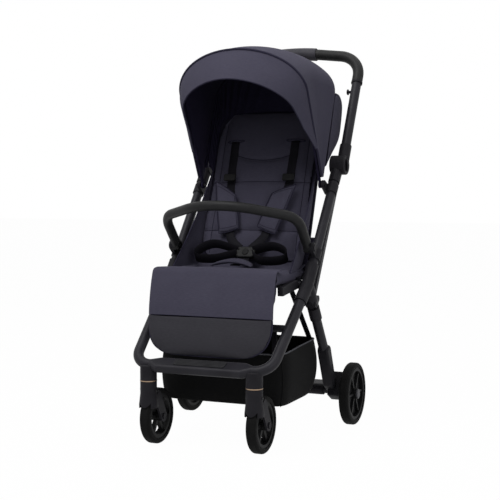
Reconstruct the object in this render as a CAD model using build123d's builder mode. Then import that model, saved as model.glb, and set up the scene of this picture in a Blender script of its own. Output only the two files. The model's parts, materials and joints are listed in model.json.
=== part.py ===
from build123d import *
import os
from math import cos, hypot, radians, sin

# Compact folding baby stroller, in millimetres.
# X is across the stroller, +Y to the rear, +Z up, with the wheels on Z = 0.

os.makedirs("parts", exist_ok=True)

# Wheels and casters
FRONT_WHEEL_D = 138.0
FRONT_TYRE_W = 26.0
FRONT_TRACK = 282.0
FRONT_AXLE_Y = -265.0
CASTER_TRAIL = 42.0
REAR_WHEEL_D = 166.0
REAR_TYRE_W = 26.0
REAR_OFFSET = 46.0
REAR_AXLE_Y = 132.0
AXLE_R = 4.0
TYRE_DEPTH = 13.0
RIM_DEPTH = 9.0
FRONT_SPOKES = 6
REAR_RIBS = 6
POST_R = 20.5
POST_BOTTOM_Z = 165.0
TRIM_RING_H = 2.4
STEM_R = 6.0
FORK_ARM = 5.2
SHROUD_R = 23.5
SHROUD_Z = 97.0

# Frame tubes
TUBE_R = 12.5
TUBE_WALL = 1.8
LEG_R = 13.0
HANDLE_R = 13.0
FRAME_X = 195.0
REAR_TRACK = 2 * (FRAME_X + REAR_OFFSET)
HUB_Y = -95.0
HUB_Z = 393.0
HUB_R = 16.0
HUB_W = 32.0
FOLD_Y = 142.0
FOLD_Z = 697.0
FOLD_R = 26.0
SOCKET_WALL = 3.0
SOCKET_LEN = 60.0
CROSSBAR_Y = -306.0
CROSSBAR_Z = 203.0
CROSSBAR_DEPTH = 48.0
CROSSBAR_H = 22.0
CROSSBAR_TILT = 20.0
CROSSBAR_HALF = 112.0
CROSSBAR_END = 136.0
CORNER_INSET = 13.0
CORNER_X = FRAME_X - CORNER_INSET
CORNER_BEND = 45.0
BRACE_Y = -205.0
BRACE_Z = 294.0
BRACE_R = 9.0
CROSS_TUBE_R = 11.0
HINGE_PIN_R = 5.0

# Handle
HANDLE_OFFSET = 12.0
HANDLE_X = FRAME_X + HANDLE_OFFSET
HANDLE_LEAN = 28.0
HANDLE_CORNER = 346.0
HANDLE_TOP = 374.0
HANDLE_CORNER_R = 70.0
HANDLE_ARCH_R = 600.0
GRIP_R = 15.0
GRIP_START = 262.0
HOUSING_HALF = 72.0
HOUSING_R = 18.0
BUTTON_L = 38.0
BUTTON_W = 15.0

# Rear legs and fold linkage
REAR_LEG_LEAN = 35.0
REAR_LEG_LEN = 240.0
LEG_FOLD = 36.0
LEG_PIVOT = 58.0
CLEVIS_R = 14.0
CLEVIS_W = 26.0
CRANK_Y = 34.0
CRANK_Z = 6.0
LINK_PIN_R = 3.5
LINK_TOP_Y = 174.0
LINK_TOP_Z = 677.0
TONGUE_W = 10.0
LINK_W = 8.0
REAR_KNEE_Y = 75.0
REAR_KNEE_Z = 120.0
REAR_BAR_Y = 112.0
REAR_BAR_Z = 93.0
AXLE_HOUSING_W = 26.0

# Seat, backrest and leg rest
SEAT_HALF = 160.0
SEAT_FRONT_Y = -214.0
SEAT_REAR_Y = -42.0
PAN_T = 7.0
RECLINE_Y = -25.0
RECLINE_Z = 425.0
BACK_LEAN = 20.0
BACK_LEN = 470.0
BACK_INSET = 4.0
BACK_HALF = SEAT_HALF - BACK_INSET
BOARD_T = 9.0
LEGREST_Y = -224.0
LEGREST_Z = 410.0
LEGREST_LEAN = 14.0
LEGREST_LEN = 180.0
LEGREST_HALF = 168.0
LEGREST_SPLIT = 96.0
LEGREST_T = 8.0

# Canopy
CANOPY_Y = 65.0
CANOPY_Z = 645.0
CANOPY_HALF = 176.0
CANOPY_SIDE = 262.0
CANOPY_R = 380.0
CANOPY_WALL = 2.0
CANOPY_FRONT = 27.0
CANOPY_REAR = -22.0
VISOR_TIP = 40.5
VISOR_TIP_R = 346.0
VISOR_ROOT_R = 150.0
BOW_W = 8.0
BOW_T = 5.0
PIVOT_R = 4.0

# Bumper bar
BUMPER_Y = -66.0
BUMPER_Z = 484.0
BUMPER_X = 185.0
BUMPER_SHOULDER_Y = -135.0
BUMPER_SHOULDER_Z = 562.0
BUMPER_FRONT_Y = -250.0
BUMPER_FRONT_Z = 602.0
BUMPER_BENDS = [60.0, 170.0, 60.0]
BUMPER_R = 12.5

# Basket
BASKET_HALF = 170.0
BASKET_FRONT = -200.0
BASKET_REAR = 54.0
BASKET_FLOOR = 105.0
BASKET_RIM = 240.0
BASKET_WALL = 3.0

# Clearances
RUN = 0.05
GAP = 0.4


def side(x):
    """Plane facing +X at the given X, with Y and Z as its own axes."""
    return Plane.YZ.offset(x)


def tilted(y, z, up_y, up_z):
    """Plane through (0, y, z) that holds X and the given upward direction."""
    return Plane(origin=(0, y, z), x_dir=(1, 0, 0), z_dir=(0, -up_z, up_y))


def unit(y, z):
    return y / hypot(y, z), z / hypot(y, z)


def turned(y, z, angle):
    """Turn a side-view vector so that what hangs down swings to the front."""
    c, s = cos(radians(angle)), sin(radians(angle))
    return y * c + z * s, -y * s + z * c


def along(y, z, direction, distance):
    return y + direction[0] * distance, z + direction[1] * distance


def disc(x0, x1, y, z, radius, mode=Mode.ADD):
    """Round boss on an axis along X."""
    with BuildSketch(side(x0)) as face:
        with Locations((y, z)):
            Circle(radius)
    extrude(face.sketch, amount=x1 - x0, mode=mode)


def plate(x0, x1, circles, mode=Mode.ADD):
    """Plate along X whose outline wraps circles given as (y, z, radius)."""
    with BuildSketch(side(x0)) as face:
        for y, z, radius in circles:
            with Locations((y, z)):
                Circle(radius)
        make_hull()
    extrude(face.sketch, amount=x1 - x0, mode=mode)


def bar(p, q, radius, mode=Mode.ADD, bore=0.0):
    """Straight round bar or tube from p to q."""
    start, end = Vector(*p), Vector(*q)
    with BuildSketch(Plane(origin=start, z_dir=end - start)) as face:
        Circle(radius)
        if bore:
            Circle(bore, mode=Mode.SUBTRACT)
    extrude(face.sketch, amount=(end - start).length, mode=mode)


def bent(points, radii, radius, bore=0.0):
    """Tube along straight runs joined by tangent arcs."""
    with BuildLine() as path:
        FilletPolyline(*points, radius=radii)
    with BuildSketch(Plane(origin=path.line @ 0, z_dir=path.line % 0)) as face:
        Circle(radius)
        if bore:
            Circle(bore, mode=Mode.SUBTRACT)
    sweep(face.sketch, path=path.line)


def save(builder, name):
    builder.part.label = name
    export_step(builder.part, f"parts/{name}.step")


# Directions in the side view
MAIN_DIR = unit(FOLD_Y - HUB_Y, FOLD_Z - HUB_Z)
MAIN_LEN = hypot(FOLD_Y - HUB_Y, FOLD_Z - HUB_Z)
FRONT_LEG_DIR = unit(CROSSBAR_Y - HUB_Y, CROSSBAR_Z - HUB_Z)
REAR_LEG_DIR = (sin(radians(REAR_LEG_LEAN)), -cos(radians(REAR_LEG_LEAN)))
HANDLE_DIR = (sin(radians(HANDLE_LEAN)), cos(radians(HANDLE_LEAN)))
HUB_IN = FRAME_X - HUB_W / 2
HUB_OUT = FRAME_X + HUB_W / 2
SOCKET_R = TUBE_R + SOCKET_WALL
MAIN_START = 24.0
LEG_START = 34.0
FOLD_END = FOLD_R + 2.0
CASTER_X = FRONT_TRACK / 2
CASTER_Y = FRONT_AXLE_Y - CASTER_TRAIL
FRONT_AXLE_Z = FRONT_WHEEL_D / 2
REAR_X = REAR_TRACK / 2
REAR_AXLE_Z = REAR_WHEEL_D / 2
REAR_PIVOT = along(HUB_Y, HUB_Z, REAR_LEG_DIR, LEG_PIVOT)
CRANK = (REAR_PIVOT[0] + CRANK_Y, REAR_PIVOT[1] + CRANK_Z)


def frame_point(direction, distance, x=FRAME_X, y=HUB_Y, z=HUB_Z):
    py, pz = along(y, z, direction, distance)
    return (x, py, pz)


# Main tubes, from the side hubs up to the fold joints
with BuildPart() as main_tubes:
    bar(
        frame_point(MAIN_DIR, MAIN_START),
        frame_point(MAIN_DIR, MAIN_LEN - FOLD_END),
        TUBE_R,
        bore=TUBE_R - TUBE_WALL,
    )
    mirror(about=Plane.YZ)
save(main_tubes, "main_tubes")

# Front legs, bent in at the foot to meet the crossbar
LEG_RUN = hypot(CROSSBAR_Y - HUB_Y, CROSSBAR_Z - HUB_Z)
LEG_TOP_X = FRAME_X - (FRAME_X - CORNER_X) * LEG_START / LEG_RUN
LEG_ROUTE = [
    frame_point(FRONT_LEG_DIR, LEG_START, x=LEG_TOP_X),
    (CORNER_X, CROSSBAR_Y, CROSSBAR_Z),
    (CROSSBAR_END, CROSSBAR_Y, CROSSBAR_Z),
]
with BuildPart() as leg_envelope:
    bent(LEG_ROUTE, CORNER_BEND, LEG_R)
    mirror(about=Plane.YZ)
with BuildPart() as front_legs:
    bent(LEG_ROUTE, CORNER_BEND, LEG_R, bore=LEG_R - TUBE_WALL)
    mirror(about=Plane.YZ)
save(front_legs, "front_legs")

# Side hubs: a cast Y of round branches, with a clevis at the foot of the rear branch
WEB_AT, WEB_R, WEB_W = 26.0, 9.0, 20.0
PIN_DEPTH = 12.0
SLOT_IN, SLOT_OUT = FRAME_X - TONGUE_W / 2 - GAP, FRAME_X + TONGUE_W / 2 + GAP
with BuildPart() as hubs:
    with Locations((FRAME_X, HUB_Y, HUB_Z)):
        Sphere(HUB_R)
    centre = frame_point(MAIN_DIR, 0)
    bar(centre, frame_point(MAIN_DIR, SOCKET_LEN), SOCKET_R)
    bar(centre, frame_point(FRONT_LEG_DIR, SOCKET_LEN, x=FRAME_X - 3), HUB_R)
    bar(centre, frame_point(REAR_LEG_DIR, LEG_PIVOT), SOCKET_R)
    disc(FRAME_X - CLEVIS_W / 2, FRAME_X + CLEVIS_W / 2, *REAR_PIVOT, CLEVIS_R)
    plate(
        FRAME_X - WEB_W / 2,
        FRAME_X + WEB_W / 2,
        [(HUB_Y, HUB_Z, WEB_R)]
        + [(*along(HUB_Y, HUB_Z, way, WEB_AT), WEB_R) for way in (FRONT_LEG_DIR, REAR_LEG_DIR)],
    )
    crank_ends = [turned(CRANK_Y, CRANK_Z, turn) for turn in (0, LEG_FOLD)]
    plate(
        SLOT_IN,
        SLOT_OUT,
        [(*REAR_PIVOT, SOCKET_R + 2)]
        + [(REAR_PIVOT[0] + y, REAR_PIVOT[1] + z, 11.0) for y, z in crank_ends],
        mode=Mode.SUBTRACT,
    )
    bar(
        frame_point(MAIN_DIR, MAIN_START),
        frame_point(MAIN_DIR, MAIN_LEN),
        TUBE_R,
        mode=Mode.SUBTRACT,
    )
    disc(HUB_IN - 5, HUB_IN, HUB_Y, HUB_Z, CROSS_TUBE_R, mode=Mode.SUBTRACT)
    disc(HUB_IN - 1, HUB_IN + PIN_DEPTH, HUB_Y, HUB_Z, HINGE_PIN_R, mode=Mode.SUBTRACT)
    disc(HUB_IN, HUB_OUT, *REAR_PIVOT, HINGE_PIN_R, mode=Mode.SUBTRACT)
    mirror(about=Plane.YZ)
    add(leg_envelope.part, mode=Mode.SUBTRACT)
save(hubs, "hubs")

# Inner halves of the fold joints, on top of the main tubes
INNER_IN, INNER_OUT = FRAME_X - 17.0, FRAME_X + 3.0
with BuildPart() as fold_joint_inner:
    bar(
        frame_point(MAIN_DIR, MAIN_LEN - SOCKET_LEN),
        frame_point(MAIN_DIR, MAIN_LEN - 4),
        SOCKET_R,
    )
    disc(INNER_OUT, FRAME_X + 40, FOLD_Y, FOLD_Z, FOLD_R + 1.5, mode=Mode.SUBTRACT)
    disc(INNER_IN, INNER_OUT, FOLD_Y, FOLD_Z, FOLD_R)
    bar(
        frame_point(MAIN_DIR, MAIN_START),
        frame_point(MAIN_DIR, MAIN_LEN - FOLD_END),
        TUBE_R,
        mode=Mode.SUBTRACT,
    )
    disc(INNER_IN - 1, INNER_OUT + 1, FOLD_Y, FOLD_Z, HINGE_PIN_R, mode=Mode.SUBTRACT)
    mirror(about=Plane.YZ)
save(fold_joint_inner, "fold_joint_inner")

# Riveted pins of the hub and fold pivots
OUTER_IN, OUTER_OUT = INNER_OUT + GAP, HANDLE_X + 12.0
with BuildPart() as pivot_pins:
    disc(HUB_IN - 3, HUB_IN + PIN_DEPTH, HUB_Y, HUB_Z, HINGE_PIN_R)
    clevis_in, clevis_out = FRAME_X - CLEVIS_W / 2, FRAME_X + CLEVIS_W / 2
    disc(clevis_in - 2, clevis_out + 2, *REAR_PIVOT, HINGE_PIN_R)
    disc(clevis_out, clevis_out + 2, *REAR_PIVOT, HINGE_PIN_R + 3)
    disc(INNER_IN - 3, OUTER_OUT - 4, FOLD_Y, FOLD_Z, HINGE_PIN_R)
    disc(INNER_IN - 3, INNER_IN, FOLD_Y, FOLD_Z, HINGE_PIN_R + 3)
    mirror(about=Plane.YZ)
save(pivot_pins, "pivot_pins")

# Front crossbar: a tilted flat bar that runs out to the round tube ends, with a foot tread


def bar_section(x, depth, height, corner):
    """Rounded section of the crossbar at the given X."""
    with BuildSketch(side(x)) as face:
        with Locations((CROSSBAR_Y, CROSSBAR_Z)):
            RectangleRounded(depth, height, corner, rotation=CROSSBAR_TILT)
    return face.sketch


CROSSBAR_CORNER = CROSSBAR_H / 2 - 3
with BuildPart() as front_crossbar:
    flat = bar_section(0, CROSSBAR_DEPTH, CROSSBAR_H, CROSSBAR_CORNER)
    extrude(flat, amount=CROSSBAR_HALF)
    loft(
        [
            bar_section(CROSSBAR_HALF, CROSSBAR_DEPTH, CROSSBAR_H, CROSSBAR_CORNER),
            bar_section(CROSSBAR_END, 2 * LEG_R, 2 * LEG_R, LEG_R - 0.1),
        ]
    )
    mirror(about=Plane.YZ)
save(front_crossbar, "front_crossbar")

TREAD_T = 2.5
TREAD_HALF = 68.0
TREAD_PLANE = tilted(CROSSBAR_Y, CROSSBAR_Z, cos(radians(CROSSBAR_TILT)), sin(radians(CROSSBAR_TILT)))
with BuildPart() as foot_tread:
    with BuildSketch(TREAD_PLANE.offset(CROSSBAR_H / 2)):
        RectangleRounded(2 * TREAD_HALF, CROSSBAR_DEPTH - 20, 6)
    extrude(amount=TREAD_T)
    fillet(foot_tread.faces().sort_by(Axis.Z)[-1].edges(), 1.2)
save(foot_tread, "foot_tread")

# Tubes across the frame: under the seat and between the front legs
with BuildPart() as cross_tubes:
    bar((-HUB_IN, HUB_Y, HUB_Z), (HUB_IN, HUB_Y, HUB_Z), CROSS_TUBE_R)
    disc(HUB_IN - 4, HUB_IN, HUB_Y, HUB_Z, HINGE_PIN_R, mode=Mode.SUBTRACT)
    disc(-HUB_IN, 4 - HUB_IN, HUB_Y, HUB_Z, HINGE_PIN_R, mode=Mode.SUBTRACT)
    bar((-CORNER_X, BRACE_Y, BRACE_Z), (CORNER_X, BRACE_Y, BRACE_Z), BRACE_R)
    add(leg_envelope.part, mode=Mode.SUBTRACT)
save(cross_tubes, "cross_tubes")

# Caster posts under the ends of the crossbar, each with a trim ring
STEM_TOP = POST_BOTTOM_Z + 22.0
with BuildPart() as caster_posts:
    bar((CASTER_X, CASTER_Y, POST_BOTTOM_Z), (CASTER_X, CASTER_Y, CROSSBAR_Z), POST_R)
    fillet(caster_posts.edges().sort_by(Axis.Z)[-1], 4.0)
    bar(
        (CASTER_X, CASTER_Y, POST_BOTTOM_Z),
        (CASTER_X, CASTER_Y, STEM_TOP + GAP),
        STEM_R + RUN,
        mode=Mode.SUBTRACT,
    )
    mirror(about=Plane.YZ)
    add(leg_envelope.part, mode=Mode.SUBTRACT)
    add(front_crossbar.part, mode=Mode.SUBTRACT)
save(caster_posts, "caster_posts")

with BuildPart() as post_trim_rings:
    bar(
        (CASTER_X, CASTER_Y, POST_BOTTOM_Z - TRIM_RING_H),
        (CASTER_X, CASTER_Y, POST_BOTTOM_Z),
        POST_R + 0.6,
        bore=STEM_R + 3,
    )
    mirror(about=Plane.YZ)
save(post_trim_rings, "post_trim_rings")


def caster_fork(sign):
    """Swivel fork: a shroud that flares over the wheel, two arms that hold the axle, and the stem."""
    top = POST_BOTTOM_Z - TRIM_RING_H - GAP
    half = FRONT_TYRE_W / 2 + 2.3
    with BuildPart() as fork:
        sections = []
        waist = FRONT_WHEEL_D - 6
        for z, radius in ((SHROUD_Z, SHROUD_R), (SHROUD_Z + 8, SHROUD_R), (waist, POST_R), (top, POST_R)):
            with BuildSketch(Plane.XY.offset(z)) as ring:
                with Locations((CASTER_X, CASTER_Y)):
                    Circle(radius)
            sections.append(ring.sketch)
        loft(sections, ruled=True)
        fillet(fork.edges().sort_by(Axis.Z)[-1], 1.5)
        plate(
            CASTER_X - half - FORK_ARM,
            CASTER_X + half + FORK_ARM,
            [
                (CASTER_Y + 8, SHROUD_Z + 22, 9),
                (CASTER_Y + 18, FRONT_WHEEL_D - 12, 10),
                (FRONT_AXLE_Y, FRONT_AXLE_Z, 14),
            ],
        )
        disc(
            CASTER_X - half,
            CASTER_X + half,
            FRONT_AXLE_Y,
            FRONT_AXLE_Z,
            FRONT_WHEEL_D / 2 + 3,
            mode=Mode.SUBTRACT,
        )
        bar((CASTER_X, CASTER_Y, top - 4), (CASTER_X, CASTER_Y, STEM_TOP), STEM_R)
        disc(
            CASTER_X - half - FORK_ARM - 2,
            CASTER_X + half + FORK_ARM + 2,
            FRONT_AXLE_Y,
            FRONT_AXLE_Z,
            AXLE_R,
        )
        if sign < 0:
            mirror(about=Plane.YZ, mode=Mode.REPLACE)
    return fork


def tyre(x, y, z, diameter, width):
    """Rounded tread ring."""
    outer, inner = diameter / 2, diameter / 2 - TYRE_DEPTH
    with BuildPart() as ring:
        with BuildSketch(Plane(origin=(x, y, z), x_dir=(1, 0, 0), z_dir=(0, -1, 0))) as tread:
            with Locations((0, (outer + inner) / 2)):
                Rectangle(width, TYRE_DEPTH)
            fillet(tread.vertices().group_by(Axis.Y)[-1], 6.5)
        revolve(axis=Axis((x, y, z), (1, 0, 0)))
    return ring


def wheel_section(x, y, z, points):
    """Revolve a closed outline of (across, radius) points about the axle."""
    with BuildSketch(Plane(origin=(x, y, z), x_dir=(1, 0, 0), z_dir=(0, -1, 0))) as face:
        with BuildLine():
            Polyline(*points, close=True)
        make_face()
    revolve(face.sketch, axis=Axis((x, y, z), (1, 0, 0)))


def front_rim(x):
    """Open rim with a hub barrel and flat spokes."""
    y, z = FRONT_AXLE_Y, FRONT_AXLE_Z
    outer = FRONT_WHEEL_D / 2 - TYRE_DEPTH
    inner = outer - RIM_DEPTH
    half = FRONT_TYRE_W / 2 - 2
    hub_half = FRONT_TYRE_W / 2 + 1.7
    with BuildPart() as rim:
        lip = inner + 4
        outline = [(-half, outer), (half, outer), (half, inner), (3, lip), (-3, lip), (-half, inner)]
        wheel_section(x, y, z, outline)
        disc(x - hub_half, x + hub_half, y, z, 13.0)
        with BuildSketch(Plane(origin=(x, y, z), x_dir=(0, 1, 0), z_dir=(1, 0, 0)).offset(-5)):
            with PolarLocations(0, FRONT_SPOKES):
                with Locations(((inner + 16) / 2, 0)):
                    Rectangle(inner - 2, 9.0)
        extrude(amount=10)
        disc(x - 30, x + 30, y, z, AXLE_R + RUN, mode=Mode.SUBTRACT)
    return rim


def rear_rim(x):
    """Wheel with a deep dish, raised ribs across it and a hub boss."""
    y, z = REAR_AXLE_Y, REAR_AXLE_Z
    sign = 1 if x > 0 else -1
    outer = REAR_WHEEL_D / 2 - TYRE_DEPTH
    inner = outer - RIM_DEPTH
    half = REAR_TYRE_W / 2 - 2
    hub_half = REAR_TYRE_W / 2 + 1
    axle = AXLE_R + RUN
    with BuildPart() as rim:
        wheel_section(x, y, z, [(-half, outer), (half, outer), (half, inner), (-half, inner)])
        dish = [(-3, inner + 2), (0, inner + 2), (2, 20), (2, axle), (-3, axle)]
        wheel_section(x, y, z, [(sign * across, radius) for across, radius in dish])
        disc(x - hub_half, x + hub_half, y, z, 14.0)
        rib_plane = Plane(origin=(x, y, z), x_dir=(0, 1, 0), z_dir=(sign, 0, 0))
        with BuildSketch(rib_plane.offset(-1)):
            with PolarLocations(0, REAR_RIBS):
                with Locations(((inner + 12) / 2, 0)):
                    Rectangle(inner - 8, 5.0)
        extrude(amount=9)
        disc(x - 30, x + 30, y, z, axle, mode=Mode.SUBTRACT)
    return rim


for sign, hand in ((-1, "left"), (1, "right")):
    save(caster_fork(sign), f"fork_{hand}")
    save(front_rim(sign * CASTER_X), f"front_rim_{hand}")
    front_tyre = tyre(sign * CASTER_X, FRONT_AXLE_Y, FRONT_AXLE_Z, FRONT_WHEEL_D, FRONT_TYRE_W)
    save(front_tyre, f"front_tyre_{hand}")
    save(rear_rim(sign * REAR_X), f"rear_rim_{hand}")
    rear_tyre = tyre(sign * REAR_X, REAR_AXLE_Y, REAR_AXLE_Z, REAR_WHEEL_D, REAR_TYRE_W)
    save(rear_tyre, f"rear_tyre_{hand}")

# Rear legs: a knuckle in the hub's clevis with a crank for the link, and the tube
KNUCKLE_AT = LEG_PIVOT + CLEVIS_R + 1
TUBE_AT = KNUCKLE_AT + 8
TONGUE_R = CLEVIS_R - 0.5
with BuildPart() as rear_leg_knuckles:
    tongue_in, tongue_out = FRAME_X - TONGUE_W / 2, FRAME_X + TONGUE_W / 2
    neck = along(HUB_Y, HUB_Z, REAR_LEG_DIR, KNUCKLE_AT + 6)
    plate(tongue_in, tongue_out, [(*REAR_PIVOT, TONGUE_R), (*neck, 11.0)])
    plate(tongue_in, tongue_out, [(*REAR_PIVOT, 11.0), (*CRANK, 9.0)])
    bar(
        frame_point(REAR_LEG_DIR, KNUCKLE_AT),
        frame_point(REAR_LEG_DIR, KNUCKLE_AT + 40),
        SOCKET_R,
    )
    fillet(rear_leg_knuckles.edges().filter_by(GeomType.CIRCLE).sort_by(Axis.Z)[0], 2.0)
    bar(
        frame_point(REAR_LEG_DIR, TUBE_AT),
        frame_point(REAR_LEG_DIR, REAR_LEG_LEN),
        TUBE_R,
        mode=Mode.SUBTRACT,
    )
    disc(HUB_IN, HUB_OUT, *REAR_PIVOT, HINGE_PIN_R + RUN, mode=Mode.SUBTRACT)
    disc(tongue_in - LINK_W - 1, FRAME_X, *CRANK, LINK_PIN_R)
    mirror(about=Plane.YZ)
save(rear_leg_knuckles, "rear_leg_knuckles")

with BuildPart() as rear_leg_tubes:
    bar(
        frame_point(REAR_LEG_DIR, TUBE_AT),
        frame_point(REAR_LEG_DIR, REAR_LEG_LEN),
        TUBE_R,
        bore=TUBE_R - TUBE_WALL,
    )
    mirror(about=Plane.YZ)
save(rear_leg_tubes, "rear_leg_tubes")

# Lower leg sockets that carry the rear axles
HOUSING_IN = FRAME_X - AXLE_HOUSING_W / 2
HOUSING_OUT = FRAME_X + AXLE_HOUSING_W / 2
REAR_HUB_IN = REAR_X - REAR_TYRE_W / 2 - 1
with BuildPart() as rear_axle_housings:
    foot = along(HUB_Y, HUB_Z, REAR_LEG_DIR, REAR_LEG_LEN - 16)
    plate(HOUSING_IN - 2, HOUSING_OUT + 2, [(*foot, 15.5), (REAR_KNEE_Y, REAR_KNEE_Z, 14.0)])
    plate(
        HOUSING_IN - 2,
        HOUSING_OUT + 2,
        [(REAR_KNEE_Y, REAR_KNEE_Z, 14.0), (REAR_AXLE_Y, REAR_AXLE_Z, 13.0)],
    )
    fillet(rear_axle_housings.faces().filter_by(Axis.X).edges(), 6.0)
    disc(HOUSING_OUT - 4, REAR_HUB_IN - GAP, REAR_AXLE_Y, REAR_AXLE_Z, 11.0)
    bar(
        frame_point(REAR_LEG_DIR, REAR_LEG_LEN - 50),
        frame_point(REAR_LEG_DIR, REAR_LEG_LEN),
        TUBE_R,
        mode=Mode.SUBTRACT,
    )
    disc(HOUSING_IN + 6, REAR_X, REAR_AXLE_Y, REAR_AXLE_Z, AXLE_R, mode=Mode.SUBTRACT)
    mirror(about=Plane.YZ)
save(rear_axle_housings, "rear_axle_housings")

with BuildPart() as rear_axles:
    disc(HOUSING_IN + 6, REAR_X + REAR_TYRE_W / 2 + 2, REAR_AXLE_Y, REAR_AXLE_Z, AXLE_R)
    mirror(about=Plane.YZ)
save(rear_axles, "rear_axles")

with BuildPart() as rear_cross_tube:
    bar_end = HOUSING_IN - 2
    bar((-bar_end, REAR_BAR_Y, REAR_BAR_Z), (bar_end, REAR_BAR_Y, REAR_BAR_Z), CROSS_TUBE_R)
save(rear_cross_tube, "rear_cross_tube")

# Brake pedal that turns on the rear cross tube
PEDAL_X, PEDAL_W = 116.0, 52.0
with BuildPart() as brake_pedal:
    plate(
        PEDAL_X,
        PEDAL_X + PEDAL_W,
        [(REAR_BAR_Y, REAR_BAR_Z, 15.0), (REAR_BAR_Y + 56, REAR_BAR_Z + 10, 5.0)],
    )
    fillet(brake_pedal.faces().filter_by(Axis.X).edges(), 2.0)
    pedal_bore = CROSS_TUBE_R + RUN
    disc(PEDAL_X - 1, PEDAL_X + PEDAL_W + 1, REAR_BAR_Y, REAR_BAR_Z, pedal_bore, mode=Mode.SUBTRACT)
save(brake_pedal, "brake_pedal")

# Link rods that turn the rear legs as the handle folds
with BuildPart() as fold_links:
    link_out = FRAME_X - TONGUE_W / 2
    plate(link_out - LINK_W, link_out, [(*CRANK, 6.5), (LINK_TOP_Y, LINK_TOP_Z, 6.5)])
    disc(link_out - LINK_W - 1, link_out + 1, *CRANK, LINK_PIN_R + RUN, mode=Mode.SUBTRACT)
    mirror(about=Plane.YZ)
save(fold_links, "fold_links")

# Outer halves of the fold joints and the handle
HANDLE_PLANE = tilted(FOLD_Y, FOLD_Z, *HANDLE_DIR)


def handle_point(x, up):
    return HANDLE_PLANE.from_local_coords((x, up, 0))


with BuildPart() as fold_joint_outer:
    disc(OUTER_IN, OUTER_OUT, FOLD_Y, FOLD_Z, FOLD_R)
    fillet(fold_joint_outer.faces().sort_by(Axis.X)[-1].edges(), 3.0)
    bar(handle_point(HANDLE_X, 4), handle_point(HANDLE_X, SOCKET_LEN), HANDLE_R + SOCKET_WALL)
    disc(0, OUTER_IN, FOLD_Y, FOLD_Z, FOLD_R + 1.5, mode=Mode.SUBTRACT)
    bar(
        handle_point(HANDLE_X, FOLD_END),
        handle_point(HANDLE_X, GRIP_START),
        HANDLE_R,
        mode=Mode.SUBTRACT,
    )
    disc(OUTER_IN - 1, OUTER_OUT - 4 + GAP, FOLD_Y, FOLD_Z, HINGE_PIN_R + RUN, mode=Mode.SUBTRACT)
    mirror(about=Plane.YZ)
save(fold_joint_outer, "fold_joint_outer")

with BuildPart() as handle_tubes:
    bar(
        handle_point(HANDLE_X, FOLD_END),
        handle_point(HANDLE_X, GRIP_START),
        HANDLE_R,
        bore=HANDLE_R - TUBE_WALL,
    )
    mirror(about=Plane.YZ)
save(handle_tubes, "handle_tubes")


def handle_arch(radius):
    """Rounded U of the handle, swept at the given radius from the tube ends."""
    corners = [
        (HANDLE_X, GRIP_START),
        (HANDLE_X, HANDLE_CORNER),
        (0, HANDLE_TOP),
        (-HANDLE_X, HANDLE_CORNER),
        (-HANDLE_X, GRIP_START),
    ]
    bent(
        [handle_point(*corner) for corner in corners],
        [HANDLE_CORNER_R, HANDLE_ARCH_R, HANDLE_CORNER_R],
        radius,
    )


with BuildPart() as handle_grips:
    handle_arch(GRIP_R)
    split(bisect_by=side(HOUSING_HALF), keep=Keep.TOP)
    mirror(about=Plane.YZ)
save(handle_grips, "handle_grips")

BUTTON_TRAVEL = 3.0
BUTTON_DEPTH = 9.0
BUTTON_PROUD = 3.0
BUTTON_PLANE = Plane(
    origin=handle_point(0, HANDLE_TOP - 4),
    x_dir=(1, 0, 0),
    z_dir=(0, cos(radians(HANDLE_LEAN)), -sin(radians(HANDLE_LEAN))),
).offset(HOUSING_R - BUTTON_DEPTH + BUTTON_PROUD)
with BuildPart() as handle_housing:
    handle_arch(HOUSING_R)
    split(bisect_by=side(HOUSING_HALF), keep=Keep.BOTTOM)
    split(bisect_by=side(-HOUSING_HALF), keep=Keep.TOP)
    fillet(handle_housing.faces().filter_by(Axis.X).edges(), 2.5)
    with BuildSketch(BUTTON_PLANE.offset(-BUTTON_TRAVEL - GAP)):
        RectangleRounded(BUTTON_L + 2 * GAP, BUTTON_W + 2 * GAP, BUTTON_W / 2)
    extrude(amount=40, mode=Mode.SUBTRACT)
save(handle_housing, "handle_housing")

with BuildPart() as fold_button:
    with BuildSketch(BUTTON_PLANE):
        RectangleRounded(BUTTON_L, BUTTON_W, BUTTON_W / 2 - GAP)
    extrude(amount=BUTTON_DEPTH)
    fillet(fold_button.faces().sort_by(Axis.Y)[-1].edges(), 1.5)
save(fold_button, "fold_button")

# Stud for a cup holder on the inner side of the right handle tube
STUD_UP = 232.0
with BuildPart() as accessory_stud:
    stud_y, stud_z = along(FOLD_Y, FOLD_Z, HANDLE_DIR, STUD_UP)
    disc(HANDLE_X - HANDLE_R - 7, HANDLE_X, stud_y, stud_z, 4.0)
    disc(HANDLE_X - HANDLE_R - 10, HANDLE_X - HANDLE_R - 7, stud_y, stud_z, 8.0)
    fillet(accessory_stud.edges().sort_by(Axis.X)[0], 1.4)
    bar(
        handle_point(HANDLE_X, FOLD_END),
        handle_point(HANDLE_X, GRIP_START),
        HANDLE_R,
        mode=Mode.SUBTRACT,
    )
save(accessory_stud, "accessory_stud")

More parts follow.
